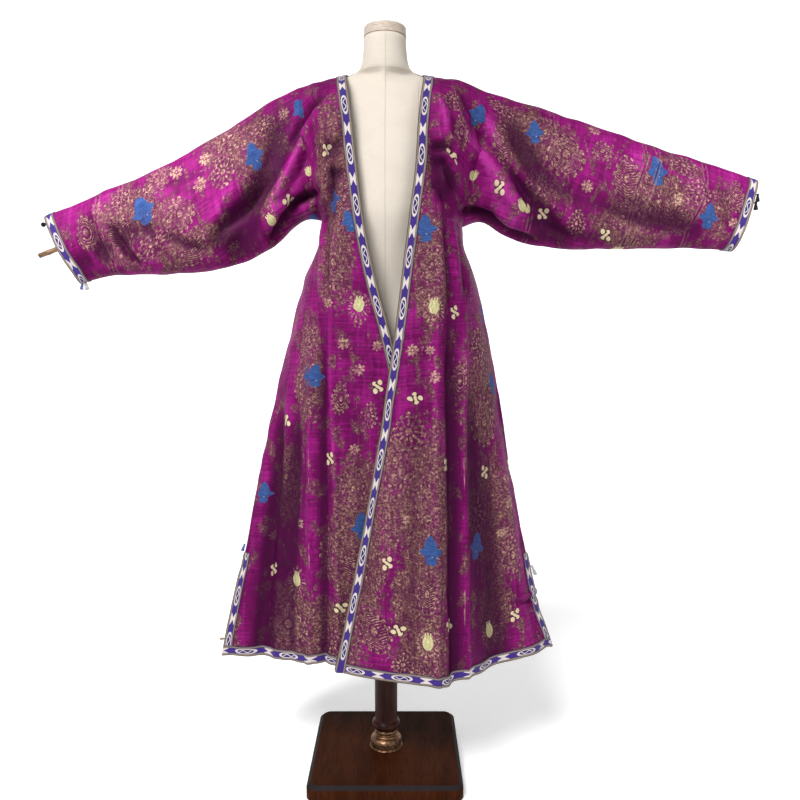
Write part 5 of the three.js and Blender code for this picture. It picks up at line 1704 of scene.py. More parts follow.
# ---------------------------------------------------------------- the silk brocade
PURPLE_DEEP = (0.032, 0.0015, 0.022)
PURPLE = (0.112, 0.0030, 0.066)
MAGENTA = (0.215, 0.0070, 0.130)
MAGENTA_BRIGHT = (0.390, 0.0300, 0.262)
GOLD_PALE = (0.560, 0.365, 0.262)
GOLD = (0.225, 0.120, 0.094)
GOLD_BROWN = (0.074, 0.038, 0.028)
GOLD_SHADOW = (0.041, 0.008, 0.021)
BLUE = (0.024, 0.052, 0.165)
BLUE_LIGHT = (0.040, 0.088, 0.250)
CREAM = (0.600, 0.500, 0.320)
CREAM_GREEN = (0.420, 0.400, 0.200)
SEED_LINE = (0.230, 0.220, 0.085)
OUTLINE = (0.020, 0.008, 0.014)


def palmette(make, u, v, wander):
    """How much gold a palmette shows at a point, how far inside it the point lies, and the gap round it."""
    p, q, filling, there = make.motif("palm")
    p = p + wander * 0.10
    q = q + wander * 0.08
    across = p * (q.highest(0.0) * 0.55 + 1.0)
    turn = angle_of(p, q)
    petals = (turn * 14.0).cos()
    out = (across * across + q * q).root() * (1.0 - petals * 0.035)
    inside = out.ramp(1.0, 0.95) * there
    crossing = ((u + v) / 4.8).from_half().lowest(((u - v) / 4.8).from_half())
    net = crossing.ramp(0.19, 0.10).highest(crossing.ramp(0.36, 0.43))
    chevrons = ((v - abs(p) * 14.0) / 4.8).from_half().ramp(0.26, 0.16)
    leaf = (out * 6.5).from_half().ramp(0.27, 0.17)
    rays = ((turn * 11.0).cos() + (out * 15.0).cos() * 0.7).ramp(0.0, 0.5)
    fill = (
        net * filling.near(0.0)
        + chevrons * filling.near(1.0)
        + leaf * filling.near(2.0)
        + rays * filling.near(3.0)
    )
    core = fill * out.ramp(0.74, 0.70)
    line = out.band(0.77, 0.035, 0.02)
    beads = petals.ramp(-0.55, 0.15) * out.band(0.90, 0.075, 0.045)
    heart = out.ramp(0.20, 0.15)
    round_heart = out.band(0.245, 0.045, 0.03)
    gold = (core * (1.0 - round_heart)).highest(line).highest(beads).highest(heart) * inside
    gap = out.band(1.06, 0.06, 0.04) * there
    return gold, inside, gap


def seed_head(make):
    """A woven seed: how cream, how dark and how gold it is."""
    p, q, bare, there = make.motif("seed")
    oval = (p / 11.0) * (p / 11.0) + (q / 15.0) * (q / 15.0)
    spikes = (p / 5.4).from_half().ramp(0.18, 0.30) * abs(p).ramp(9.5, 8.5) * q.band(14.0, 5.5, 5.0)
    cream = oval.ramp(1.06, 0.94).highest(spikes) * there
    middle_line = abs(abs(p) - (1.0 - oval.lowest(1.0)) * 5.4).ramp(1.0, 0.5) * oval.ramp(0.95, 0.8)
    narrowing = 1.0 - (0.0 - q).ramp(0.0, 60.0) * 0.55
    out = ((p / 28.0 / narrowing).power(2.0) + ((q + 10.0) / 46.0).power(2.0)).root()
    turn = angle_of(p, q + 6.0)
    rays = ((turn * 17.0).cos() + (out * 30.0).cos() * 0.6).ramp(-0.3, 0.4)
    gold = rays * out.ramp(1.0, 0.8) * (1.0 - cream) * (1.0 - bare) * there
    return cream, middle_line * cream, gold


# The petals of a clover: middle, radius, and height by width.
CLOVER_PETALS = ((-5.0, 8.5, 4.6, 1.25), (6.0, 5.5, 4.4, 1.0), (-6.0, -5.0, 4.8, 1.0), (5.0, -9.0, 4.6, 1.25))
CLOVER_MIDDLE = (0.0, 0.0, 4.6, 1.0)
CLOVER_RIM = 1.8  # how far the dark goes on round a petal


def rimmed(petal):
    x, y, radius, tall = petal
    return x, y, radius + CLOVER_RIM, tall


def clover_head(make):
    """Four round petals round a middle, crossed by two dark threads: how cream and how dark it is."""
    p, q, _, there = make.motif("clover")

    def blob(x, y, radius, tall):
        dx, dy = p - x, (q - y) / tall
        return (dx * dx + dy * dy).root().ramp(radius + 0.5, radius - 0.5)

    def stroke(x, y, reach, width):
        """A short bar sloping up to the right through a point."""
        rise = abs(q - y - (p - x) * 0.6)
        return rise.ramp(width + 0.5, width - 0.5) * p.band(x, reach + 0.5, reach - 0.5)

    petals = blob(*CLOVER_PETALS[0])
    ring = blob(*rimmed(CLOVER_PETALS[0]))
    for petal in CLOVER_PETALS[1:]:
        petals = petals.highest(blob(*petal))
        ring = ring.highest(blob(*rimmed(petal)))
    petals = petals.highest(blob(*CLOVER_MIDDLE))
    gaps = stroke(-2.5, 3.0, 6.5, 1.3).highest(stroke(3.0, -3.2, 6.5, 1.3))
    petals = petals * (1.0 - gaps)
    return petals * there, (ring * 0.5).highest(gaps) * there * (1.0 - petals)


def blossom_head(make):
    """A four-lobed flower, its upper lobe the longest."""
    p, q, _, there = make.motif("blossom")
    upper = 1.0 - ((abs(p) / 14.5).power(1.6) + (abs(q - 4.0) / 28.0).power(1.6))
    sides = 1.0 - ((abs(p) / 24.5).power(1.35) + (abs(q + 1.0) / 12.5).power(1.35))
    dx = abs(abs(p) - 4.2)
    lower = 1.0 - ((dx / 7.2).power(2.2) + (abs(q + 14.0) / 13.0).power(2.2))
    inside = upper.highest(sides).highest(lower).ramp(0.0, 0.08) * there
    dot = ((p - 3.0) * (p - 3.0) + (q + 10.0) * (q + 10.0)).ramp(2.0, 0.8) * 0.6
    veins = abs(abs(p) * 0.7 + q + 7.0).ramp(1.3, 0.5) * abs(p).band(9.0, 8.0, 6.0)
    return inside, dot * inside, veins * inside


def star_head(make):
    """A gold flower of eight narrow petals round a ring."""
    p, q, _, there = make.motif("star")
    out = (p * p + q * q).root()
    turn = angle_of(p, q)
    petal = abs((turn * 4.0).cos())
    petals = (petal * 9.0 + 6.0 - out).ramp(0.0, 0.8)
    gaps = abs((turn * 8.0).sin()).ramp(0.10, 0.4).highest(out.ramp(6.0, 5.0))
    heart = abs(out - 3.4).ramp(0.6, 1.2)
    return petals * gaps * heart * there


def silk_brocade():
    """Magenta silk with scattered and drawn gold, flowers and seams, with painted shade in the hollows of its
    folds and painted light on their ridges and higher up.
    """
    make = Finish("silk brocade")
    u, v = make.uv("cloth")
    streaks = make.noise(u / 70.0, v / 4.2, 2.0, detail=3.0)
    ribs = make.noise(u / 26.0, v / 1.3, 5.0, detail=1.0)
    cloudy = make.noise(u / 60.0, v / 85.0, 9.0, detail=3.0)
    upright = make.noise(u / 9.0, v / 150.0, 11.0, detail=2.0)
    warp = make.noise(u / 2.2, v / 60.0, 4.0, detail=2.0)
    grain = make.noise(u / 1.5, v / 1.1, 7.0, detail=1.0)
    worn = make.noise(u / 8.0, v / 12.0, 3.0, detail=3.0, roughness=0.65)
    hollow = make.number("hollow")

    # Painted light and shade: on top of the silk's random tone, its colour is made lighter on the ridges of
    # the folds, darker in their hollows, and lighter the higher it hangs above the floor, up to the bright
    # magenta.
    _, _, above_floor = make.place()
    light = streaks * 0.35 + cloudy * 0.40 + upright * 0.25 + hollow * 0.012
    light = light + above_floor.ramp(250.0, 900.0) * 0.06 - 0.05
    ground = make.blend(PURPLE, MAGENTA, light.ramp(0.42, 0.58))
    ground = make.blend(ground, MAGENTA_BRIGHT, light.ramp(0.56, 0.72) * 0.7)
    ground = make.blend(ground, PURPLE_DEEP, (ribs * 0.35 + warp * 0.30 + worn * 0.35).ramp(0.47, 0.64) * 0.6)

    wander = make.noise(u / 11.0, v / 9.0, 61.0, detail=2.0) - 0.5
    palm_gold, palm_inside, palm_gap = palmette(make, u + wander * 5.0, v - wander * 4.0, wander)
    field = make.number("field")
    speck = make.cells(u / 2.4, v / 1.8, 1.0).ramp(0.56, 0.34) * grain.ramp(0.32, 0.50)
    rise = (u * 0.9 + v) / 6.8 + cloudy * 2.0
    fall = (u * 0.9 - v) / 6.8 + cloudy * 2.0
    lattice = rise.from_half().ramp(0.22, 0.10).highest(fall.from_half().ramp(0.22, 0.10))
    dashes = make.noise(u / 3.0, v / 14.0, 17.0, detail=2.0).ramp(0.50, 0.60)
    scattered = speck.highest(lattice * grain.ramp(0.42, 0.60)).highest(dashes * grain.ramp(0.30, 0.5))
    broken = make.noise(u / 7.0, v / 17.0, 51.0, detail=2.0)
    where = field * 1.15 + (worn - 0.5) * 1.4 + (upright - 0.5) * 1.2 + (broken - 0.5) * 1.3
    where = where.ramp(0.26, 0.66)
    everywhere = make.noise(u / 26.0, v / 44.0, 21.0, detail=3.0).ramp(0.54, 0.62) * 0.75
    where = where.highest(everywhere) * (1.0 - palm_gap * worn.ramp(0.40, 0.55) * 0.8)
    gold = scattered * where

    threads = grain.ramp(0.26, 0.46) * worn.ramp(0.32, 0.50)
    gold = (gold * (1.0 - palm_inside * 0.85)).highest(palm_gold * threads)
    star = star_head(make)
    gold = gold.highest(star * grain.ramp(0.22, 0.42))
    cream, seed_line, seed_gold = seed_head(make)
    gold = gold.highest(seed_gold * grain.ramp(0.25, 0.45) * worn.ramp(0.36, 0.56) * 0.8)
    rubbed = make.noise(u / 15.0, v / 28.0, 71.0, detail=3.0)
    gold = gold * (rubbed.ramp(0.34, 0.54) * 0.7 + 0.3)

    tone = make.noise(u / 6.0, v / 5.0, 13.0, detail=3.0)
    # Painted highlight: the gold is made paler on the ridges of the folds and browner in their hollows, and
    # the painted glint makes drawn motifs paler still.
    glint = palm_gold * 0.06 + star * 0.12 + seed_gold * 0.10
    gold_colour = make.blend(GOLD_BROWN, GOLD, (tone + glint).ramp(0.34, 0.54))
    gold_colour = make.blend(gold_colour, GOLD_PALE, (tone + glint + hollow * 0.004).ramp(0.54, 0.70))
    ground = make.blend(ground, GOLD_SHADOW, where.highest(palm_inside * 0.7) * 0.66)
    colour = make.blend(ground, gold_colour, gold * 0.92)

    petals, stalks = clover_head(make)
    cream = cream * grain.ramp(0.20, 0.34)
    colour = make.blend(colour, make.blend(CREAM, CREAM_GREEN, tone.ramp(0.32, 0.56)), cream)
    colour = make.blend(colour, SEED_LINE, seed_line * 0.8)
    petals = petals * grain.ramp(0.22, 0.36)
    colour = make.blend(colour, CREAM, petals * 0.92)
    colour = make.blend(colour, OUTLINE, stalks)
    blossom, dot, veins = blossom_head(make)
    blue = make.blend(BLUE, BLUE_LIGHT, (ribs * 0.6 + tone * 0.4).ramp(0.42, 0.60))
    colour = make.blend(colour, blue, blossom)
    colour = make.blend(colour, OUTLINE, veins * 0.5)
    colour = make.blend(colour, CREAM, dot)
    seam = make.number("seam")
    selvedge = seam.ramp(1.2, 0.4) * make.noise(u / 2.0, v / 30.0, 41.0, detail=3.0).ramp(0.46, 0.60)
    stretches = make.noise(u / 90.0, v / 85.0, 43.0, detail=1.0).ramp(0.50, 0.60)
    colour = make.blend(colour, GOLD_PALE, selvedge * stretches * 0.6)
    join = make.number("join")
    beside = join.band(4.0, 2.4, 1.0) * worn.ramp(0.40, 0.56)
    colour = make.blend(colour, GOLD_PALE, beside * 0.14)
    colour = make.blend(colour, PURPLE_DEEP, join.ramp(2.6, 0.8) * 0.65)
    # Painted shade: the silk is darkened towards deep purple in the hollows of its folds, its inlaid flowers
    # and seeds less so.
    inlaid = blossom.highest(cream).highest(petals)
    colour = make.blend(colour, PURPLE_DEEP, hollow.ramp(-1.0, -13.0) * (1.0 - inlaid * 0.55) * 0.80)

    raised = gold.highest(cream).highest(petals).highest(blossom)
    crinkle = make.noise(u / 46.0, v / 6.0, 31.0, detail=2.0)
    fine = make.noise(u / 16.0, v / 2.6, 37.0, detail=1.0)
    waist = v.band(665.0, 190.0, 60.0)
    weave = v.wave(0.9) * 0.02 + u.wave(0.7) * 0.012
    height = crinkle * (waist * 1.3 + 0.35) + fine * 0.18 + raised * 0.16 + weave + grain * 0.10
    height = height - join.ramp(3.0, 1.0) * 0.5
    roughness = 0.60 - streaks * 0.12 + raised * 0.14
    return make.finish(colour, roughness, height, metallic=gold * 0.15, Specular_IOR_Level=0.05)


# ---------------------------------------------------------------- the woven tape
TAPE_VIOLET = (0.040, 0.013, 0.190)
TAPE_VIOLET_DARK = (0.014, 0.008, 0.095)
TAPE_WHITE = (0.560, 0.500, 0.480)
TAPE_TAN = (0.165, 0.112, 0.082)
TAPE_GREY = (0.165, 0.126, 0.105)
TAPE_EDGE = (0.050, 0.044, 0.028)
TAPE_REPEAT = 100.0


def woven_tape():
    """Violet tape with pale hexagons, each crossed by a double curve, and pale crosses between them."""
    make = Finish("woven tape")
    s, t = make.uv("tape")
    c = t - TAPE_WIDTH / 2
    step = ((s / TAPE_REPEAT).fract() - 0.5) * TAPE_REPEAT  # from the middle of a hexagon
    away = abs(step)
    from_cross = TAPE_REPEAT / 2 - away
    hexagon = ((abs(c) / 5.6).power(2.0) + (away / 22.0).power(3.0)).ramp(1.06, 0.94)
    inner = ((abs(c) / 4.1).power(2.0) + (away / 16.5).power(3.0)).ramp(1.10, 0.90)
    curve = c.band(step.wave(19.0) * 2.2, 1.15, 0.65) * away.ramp(13.5, 12.0)
    hooks = inner * (1.0 - curve)
    cross = (abs(c) - from_cross * 0.44 + 0.3).ramp(-0.5, 0.5) * from_cross.ramp(13.0, 12.0)
    tips = abs(c).band(from_cross * 0.44, 1.3, 0.7) * from_cross.ramp(13.0, 12.0)
    corner = (s - TAPE_WIDTH).ramp(0.8, -0.8)
    white = (hexagon * (1.0 - hooks)).highest(cross.highest(tips)) * (1.0 - corner)

    warp = t.wave(0.85)
    weft = s.wave(1.1)
    fuzz = make.noise(s / 1.6, t / 0.9, 1.0, detail=2.0)
    broad = make.noise(s / 22.0, t / 14.0, 6.0, detail=2.0)
    violet = make.blend(TAPE_VIOLET, TAPE_VIOLET_DARK, fuzz.ramp(0.46, 0.66))
    violet = make.blend(violet, TAPE_VIOLET_DARK, hooks * hexagon * 0.8)
    pale = make.blend(TAPE_WHITE, TAPE_GREY, fuzz.ramp(0.58, 0.74) * 0.6)
    band = make.blend(violet, pale, white)
    fleck = ((s / 3.0 + t * 0.6).from_half() + fuzz * 0.4).ramp(0.42, 0.55)
    border = make.blend(TAPE_TAN, TAPE_GREY, fleck)
    border = make.blend(border, TAPE_EDGE, (fuzz + broad).ramp(1.05, 1.25) * 0.6)
    dark_line = abs(c).band(6.1, 0.55, 0.25)
    white_line = abs(c).band(7.3, 0.5, 0.25)
    colour = make.blend(band, border, abs(c).ramp(5.5, 5.9))
    colour = make.blend(colour, TAPE_WHITE, white_line * 0.32)
    colour = make.blend(colour, TAPE_EDGE, dark_line * 0.8)
    colour = make.blend(colour, TAPE_EDGE, abs(c).ramp(9.4, 9.8))
    colour = make.blend(colour, TAPE_VIOLET_DARK, (t - 20.3).ramp(-0.2, 0.2) * 0.9)
    stitches = (s / 4.5).from_half().ramp(0.22, 0.30) * abs(c).band(8.7, 0.5, 0.3)
    colour = make.blend(colour, TAPE_GREY, stitches * 0.45)
    height = warp * 0.06 + weft * 0.05 + fuzz * 0.14 + broad * 0.6 - dark_line * 0.12 - stitches * 0.15
    return make.finish(colour, 0.78, height, Specular_IOR_Level=0.25, Sheen_Weight=0.1)


# ---------------------------------------------------------------- finishes of the stand and the threads
LINEN = (0.590, 0.532, 0.460)
LINEN_SHADE = (0.535, 0.475, 0.400)
LINEN_SEAM = (0.480, 0.420, 0.330)
PALE_WOOD = (0.530, 0.450, 0.385)
PALE_WOOD_RINGS = (0.415, 0.335, 0.268)
PALE_WOOD_PORES = (0.300, 0.210, 0.130)
PALE_WOOD_LINE = (0.200, 0.140, 0.090)
CANE = (0.110, 0.065, 0.025)
CANE_FIBRE = (0.260, 0.125, 0.045)
CANE_PATCH = (0.030, 0.022, 0.012)
MAHOGANY = (0.0300, 0.0080, 0.0028)
MAHOGANY_FIGURE = (0.0440, 0.0125, 0.0045)
MAHOGANY_GRAIN = (0.0110, 0.0040, 0.0030)
# The bluish grey below is a painted reflection on the base's bevel.
MAHOGANY_BEVEL_REFLECTION = (0.017, 0.018, 0.021)
POST_WOOD = (0.0180, 0.0050, 0.0040)
POST_FIGURE = (0.0380, 0.0100, 0.0070)
POST_GRAIN = (0.0070, 0.0030, 0.0025)
BRASS = (0.270, 0.150, 0.084)
BRASS_TARNISH = (0.060, 0.026, 0.016)
CAP_LINE = 1558.6  # height of the dark line under the neck cap
DRUM_MIDDLE = 44.5  # height of the middle of the collar's drum


def linen():
    make = Finish("linen")
    x, y, z = make.place()
    slub = make.noise(x / 16.0, z / 1.0, y / 16.0, detail=2.0)
    yarn = make.noise(x / 1.1, z / 18.0, y / 1.1, detail=2.0)
    stain = make.noise(x / 60.0, z / 60.0, y / 60.0, detail=3.0)
    colour = make.blend(LINEN, LINEN_SHADE, (slub * 0.5 + yarn * 0.5).ramp(0.44, 0.66) * 0.6)
    colour = make.blend(colour, LINEN_SHADE, stain.ramp(0.46, 0.72) * 0.5)
    middle_seam = x.band(2.0, 0.9, 0.4)
    panel_seams = abs(abs(x) - 62.0 - (z - 1100.0) * 0.02).ramp(0.9, 0.4) * z.ramp(1452.0, 1448.0)
    side_seam = y.band(4.0, 0.9, 0.4)
    neck_seam = z.band(1487.0, 0.9, 0.4)
    seams = middle_seam.highest(panel_seams).highest(side_seam).highest(neck_seam)
    colour = make.blend(colour, LINEN_SEAM, seams * 0.55)
    weave = x.wave(1.2) * 0.03 + z.wave(1.2) * 0.03
    height = slub * 0.10 + yarn * 0.10 + weave - seams * 0.5
    return make.finish(colour, 0.85, height, Specular_IOR_Level=0.2, Sheen_Weight=0.12)


def pale_wood():
    make = Finish("turned pale wood")
    x, y, z = make.place()
    rings = make.noise(x / 9.0, y / 9.0, z / 1.2, detail=3.0)
    pores = make.noise(x / 1.4, y / 1.4, z / 0.5, detail=2.0)
    colour = make.blend(PALE_WOOD, PALE_WOOD_RINGS, rings.ramp(0.40, 0.64))
    colour = make.blend(colour, PALE_WOOD_PORES, pores.ramp(0.62, 0.78) * 0.6)
    colour = make.blend(colour, PALE_WOOD_LINE, z.band(CAP_LINE, 0.8, 0.4) * 0.8)
    return make.finish(colour, 0.55, rings * 0.10 + pores * 0.05, Specular_IOR_Level=0.4)


def bamboo():
    make = Finish("bamboo cane")
    x, y, z = make.place()
    fibre = make.noise((x + z * 2.2) / 26.0, y / 0.9, (z - x * 0.37) / 0.9, detail=2.0)
    patch = make.noise(x / 22.0, y / 8.0, z / 8.0, detail=3.0)
    colour = make.blend(CANE, CANE_FIBRE, fibre.ramp(0.38, 0.60))
    colour = make.blend(colour, CANE_PATCH, patch.ramp(0.48, 0.62) * 0.85)
    return make.finish(colour, 0.38, fibre * 0.12, Coat_Weight=0.25, Coat_Roughness=0.3)


def mahogany():
    make = Finish("polished mahogany")
    x, y, z = make.place()
    figure = make.noise(x / 34.0, y / 150.0, z / 120.0, detail=4.0, roughness=0.6)
    grain = make.noise(x / 1.6, y / 42.0, z / 42.0, detail=2.0)
    colour = make.blend(MAHOGANY, MAHOGANY_FIGURE, figure.ramp(0.36, 0.64))
    colour = make.blend(colour, MAHOGANY_GRAIN, grain.ramp(0.50, 0.68) * 0.7)
    marks = make.noise(x / 60.0, y / 30.0, z / 30.0, detail=3.0)
    roughness = 0.40 + marks.ramp(0.40, 0.70) * 0.08
    # Painted reflection: the bevel round the board's top is coloured bluish grey, as if it reflected the
    # room.
    bevel_reflection = z.ramp(23.5, 25.5) * z.ramp(32.6, 31.6)
    colour = make.blend(colour, MAHOGANY_BEVEL_REFLECTION, bevel_reflection * 0.8)
    return make.finish(colour, roughness, grain * 0.03, Specular_IOR_Level=0.008)


def turned_mahogany():
    make = Finish("turned mahogany")
    x, y, z = make.place()
    grain = make.noise(x / 2.2, y / 2.2, z / 60.0, detail=3.0)
    figure = make.noise(x / 14.0, y / 14.0, z / 130.0, detail=2.0)
    colour = make.blend(POST_WOOD, POST_FIGURE, figure.ramp(0.36, 0.64))
    colour = make.blend(colour, POST_GRAIN, grain.ramp(0.48, 0.66) * 0.7)
    tool_marks = z.wave(2.3)
    height = grain * 0.04 + tool_marks * 0.012
    return make.finish(colour, 0.36, height, Specular_IOR_Level=0.10)


def old_brass():
    make = Finish("old brass")
    x, y, z = make.place()
    turn = angle_of(y, x)
    tarnish = make.noise(x / 7.0, y / 7.0, z / 4.0, detail=4.0, roughness=0.6)
    # A band of leaves and beads is chased into the drum.
    above = z - DRUM_MIDDLE
    leaf = above.band((turn * 18.0).sin() * 3.2, 1.6, 0.7) * abs(above).ramp(6.2, 5.2)
    beads = (turn * 36.0).cos().ramp(0.1, 0.7) * abs(above).band(7.0, 1.1, 0.6)
    relief = leaf.highest(beads)
    dark = tarnish.ramp(0.42, 0.62) * (1.0 - relief * 0.7)
    colour = make.blend(BRASS, BRASS_TARNISH, dark * 0.9)
    roughness = 0.34 + tarnish * 0.25
    height = relief * 0.45 + tarnish * 0.10
    return make.finish(colour, roughness, height, metallic=tarnish.ramp(0.95, 0.60) * 0.25 + 0.75)


# The colours of each thread: its hollows, its lit side.
THREADS = {
    "black": ((0.006, 0.005, 0.008), (0.020, 0.016, 0.022)),
    "grey": ((0.300, 0.300, 0.330), (0.560, 0.550, 0.540)),
    "blue": ((0.050, 0.075, 0.260), (0.120, 0.160, 0.420)),
    "white": ((0.560, 0.540, 0.500), (0.780, 0.760, 0.720)),
    "tan": ((0.200, 0.140, 0.090), (0.360, 0.270, 0.190)),
}


def thread(name):
    dark, light = THREADS[name]
    make = Finish(f"thread {name}")
    x, y, z = make.place()
    ply = (z * 1.6 + x * 2.4 + y * 2.4).wave(2.4)
    fuzz = make.noise(x / 0.7, y / 0.7, z / 1.4, detail=2.0)
    colour = make.blend(dark, light, (fuzz + ply * 0.12).ramp(0.38, 0.62))
    return make.finish(colour, 0.82, ply * 0.08 + fuzz * 0.12, Sheen_Weight=0.05, Specular_IOR_Level=0.15)


silk_finish = silk_brocade()
tape_finish = woven_tape()
for name, piece in pieces.items():
    piece.data.materials.append(tape_finish if name.startswith("tape") else silk_finish)


# ---------------------------------------------------------------- shapes of the stand
# The form: height, half width, reach to the front and to the back, fullness of the corners.
FORM = (
    (770, 140, 96, 92, 2.2),
    (782, 152, 106, 102, 2.2),
    (860, 158, 110, 104, 2.2),
    (950, 138, 100, 92, 2.1),
    (1035, 118, 90, 80, 2.1),
    (1120, 120, 98, 88, 2.1),
    (1205, 126, 114, 95, 2.2),
    (1290, 136, 108, 99, 2.2),
    (1360, 150, 92, 96, 2.3),
    (1410, 162, 73, 80, 2.2),
    (1436, 164, 58, 62, 1.9),
    (1450, 158, 48, 50, 1.5),
    (1461.2, 145, 43, 43, 1.2),
    (1472.5, 109, 41.5, 40, 1.0),
    (1481, 79, 42.5, 41, 1.05),
    (1488, 61, 44, 44, 1.6),
    (1498, 51, 45, 45, 2),
    (1518, 46, 45, 45, 2),
    (1557.7, 43.5, 43.5, 43.5, 2),
)
AROUND = 96
SOCKET_RADIUS = 19.3
SOCKET_TOP = 830.3
CAP_PROFILE = (
    (43.2, 1558),
    (44.3, 1558.6),
    (44.3, 1561.4),
    (43.3, 1562),
    (43.5, 1563),
    (43.6, 1570.6),
    (43.1, 1571.2),
    (43.5, 1571.8),
    (43.5, 1576.5),
    (41.5, 1579),
    (30, 1579),
    (28, 1579),
)
POST_PROFILE = (
    (19, 33.3),
    (19, 74.3),
    (24, 74.3),
    (30, 79),
    (31.4, 85),
    (30, 91),
    (25.5, 95),
    (24.6, 100),
    (25, 134),
    (26.4, 420),
    (28, 690),
    (28, 769.7),
    (19, 769.7),
    (19, 829),
    (17, 830),
)
COLLAR_PROFILE = (
    (19.3, 33.3),
    (36.4, 33.3),
    (36.4, 35.2),
    (34.4, 36.4),
    (34.8, 48.5),
    (33.6, 52.5),
    (29.6, 56.5),
    (26.6, 57),
    (27.6, 59.4),
    (26.2, 61.8),
    (22.6, 62.6),
    (22.4, 66),
    (25.4, 67.4),
    (26, 70.6),
    (24.6, 73.9),
    (19.3, 73.9),
)
BASE_HALF = 162
BASE_CORNER = 22
BASE_ROWS = (
    (-2, 0),
    (0, 1.2),
    (0, 22.6),
    (-0.5, 24.2),
    (-1.6, 25.6),
    (-7.2, 31.2),
    (-8.6, 32.4),
    (-10.4, 33),
    (-13, 33),
    (-16, 33),
)
ROD_RADIUS = 6
RODS = {"right": ((-116, 1345), (-732, 1115)), "left": ((118, 1384), (742, 1188))}
NODE_SPACING = 172  # between the joints of the cane
NODE_FROM_END = 21
NODE_SWELLING = 0.9
NODE_GROOVE = 0.7
CANE_BORE = 3.2
FORM_FOOT = 770  # height of the form's underside, and how far up it the turned-in edge reaches
FORM_FOOT_ROLL = 12
FORM_STEP = 9  # height between the rings of the form, about


def rounded(profile, radius, steps=4):
    """A profile whose inner corners are turned into small arcs."""
    points = [np.array(point, dtype=float) for point in profile]
    made = [points[0]]
    for before, corner, after in zip(points, points[1:], points[2:]):
        a, b = before - corner, after - corner
        reach = min(radius, 0.42 * np.linalg.norm(a), 0.42 * np.linalg.norm(b))
        start = corner + a / np.linalg.norm(a) * reach
        end = corner + b / np.linalg.norm(b) * reach
        for t in np.linspace(0, 1, steps + 1):
            made.append((1 - t) ** 2 * start + 2 * t * (1 - t) * corner + t * t * end)
    made.append(points[-1])
    return made


def skin(rings, closed=False):
    """Points and faces over rings of points, shut by flat ends or joined from the last ring to the first."""
    count = len(rings[0])
    faces = []
    for j in range(len(rings) if closed else len(rings) - 1):
        low, high = j * count, (j + 1) % len(rings) * count
        for i in range(count):
            k = (i + 1) % count
            faces.append((low + i, low + k, high + k, high + i))
    if not closed:
        faces.append(tuple(range(count))[::-1])
        faces.append(tuple(range((len(rings) - 1) * count, len(rings) * count)))
    return np.concatenate(rings), faces


def rings_piece(name, rings, finish, node, closed=False):
    """A piece of the stand over rings of points."""
    points, faces = skin(rings, closed)
    piece = new_object(name, points, faces)
    piece.data.materials.append(finish)
    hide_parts(node)


def spokes(aside, over, turn):
    """The directions at the given angles between two ways that stand square to each other."""
    return np.cos(turn)[:, None] * aside + np.sin(turn)[:, None] * over


def turned_rings(profile):
    """Rings round the upright axis, from pairs of radius and height."""
    turn = np.linspace(0, 2 * np.pi, AROUND, endpoint=False)
    return [np.stack([r * np.cos(turn), r * np.sin(turn), np.full(AROUND, z)], axis=1) for r, z in profile]


def form_rings():
    """Smooth rings of the form from its table, with a socket for the post in its underside."""
    heights = [row[0] for row in FORM]
    turn = np.linspace(0, 2 * np.pi, AROUND, endpoint=False)
    rings = turned_rings([(SOCKET_RADIUS, SOCKET_TOP), (SOCKET_RADIUS, FORM_FOOT)])
    stations = [FORM_FOOT + above for above in (0, 1, 3, 6)]
    for low, high in zip(heights[1:], heights[2:]):
        steps = max(2, round((high - low) / FORM_STEP))
        stations.extend(np.linspace(low, high, steps, endpoint=False))
    stations.append(heights[-1])
    for z in stations:
        z_eased = z
        if z < FORM_FOOT + FORM_FOOT_ROLL:
            z_eased = FORM_FOOT + FORM_FOOT_ROLL * math.sqrt(clamp01((z - FORM_FOOT) / FORM_FOOT_ROLL))
        half, front, back, full = (float(smooth_table(FORM, column, z_eased)) for column in range(1, 5))
        x = np.cos(turn)
        y = np.sin(turn)
        x = half * np.sign(x) * np.abs(x) ** (2 / full)
        y = np.sign(y) * np.abs(y) ** (2 / full) * np.where(y < 0, front, back)
        rings.append(np.stack([x, y, np.full(AROUND, z)], axis=1))
    top = rings[-1]
    for share in (0.96, 0.9):
        rings.append(top * (share, share, 1))
    return rings


def smooth_table(table, column, z):
    """The column's value at a height, on a smooth curve through the rows that doesn't overshoot."""
    heights = np.array([row[0] for row in table], dtype=float)
    values = np.array([row[column] for row in table], dtype=float)
    steps = np.diff(values) / np.diff(heights)
    slopes = np.zeros(len(values))
    product = steps[:-1] * steps[1:]
    total = np.where(product > 0, steps[:-1] + steps[1:], 1)
    slopes[1:-1] = np.where(product > 0, 2 * steps[:-1] * steps[1:] / total, 0)
    k = int(np.clip(np.searchsorted(heights, z, side="right") - 1, 0, len(heights) - 2))
    span = heights[k + 1] - heights[k]
    t = clamp01((z - heights[k]) / span)
    rise = (3 - 2 * t) * t * t
    return (
        values[k] * (1 - rise)
        + values[k + 1] * rise
        + span * (slopes[k] * t * (1 - t) ** 2 - slopes[k + 1] * t * t * (1 - t))
    )


def base_ring(grow, z, arc_steps=10):
    """A square with rounded corners, grown or shrunk at its sides."""
    half, corner = BASE_HALF + grow, BASE_CORNER + grow / 2
    points = []
    for quarter, (cx, cy) in enumerate(((1, 1), (-1, 1), (-1, -1), (1, -1))):
        for turn in np.linspace(quarter, quarter + 1, arc_steps + 1) * math.pi / 2:
            x = cx * (half - corner) + corner * math.cos(turn)
            y = cy * (half - corner) + corner * math.sin(turn)
            points.append((x, y, z))
    return points


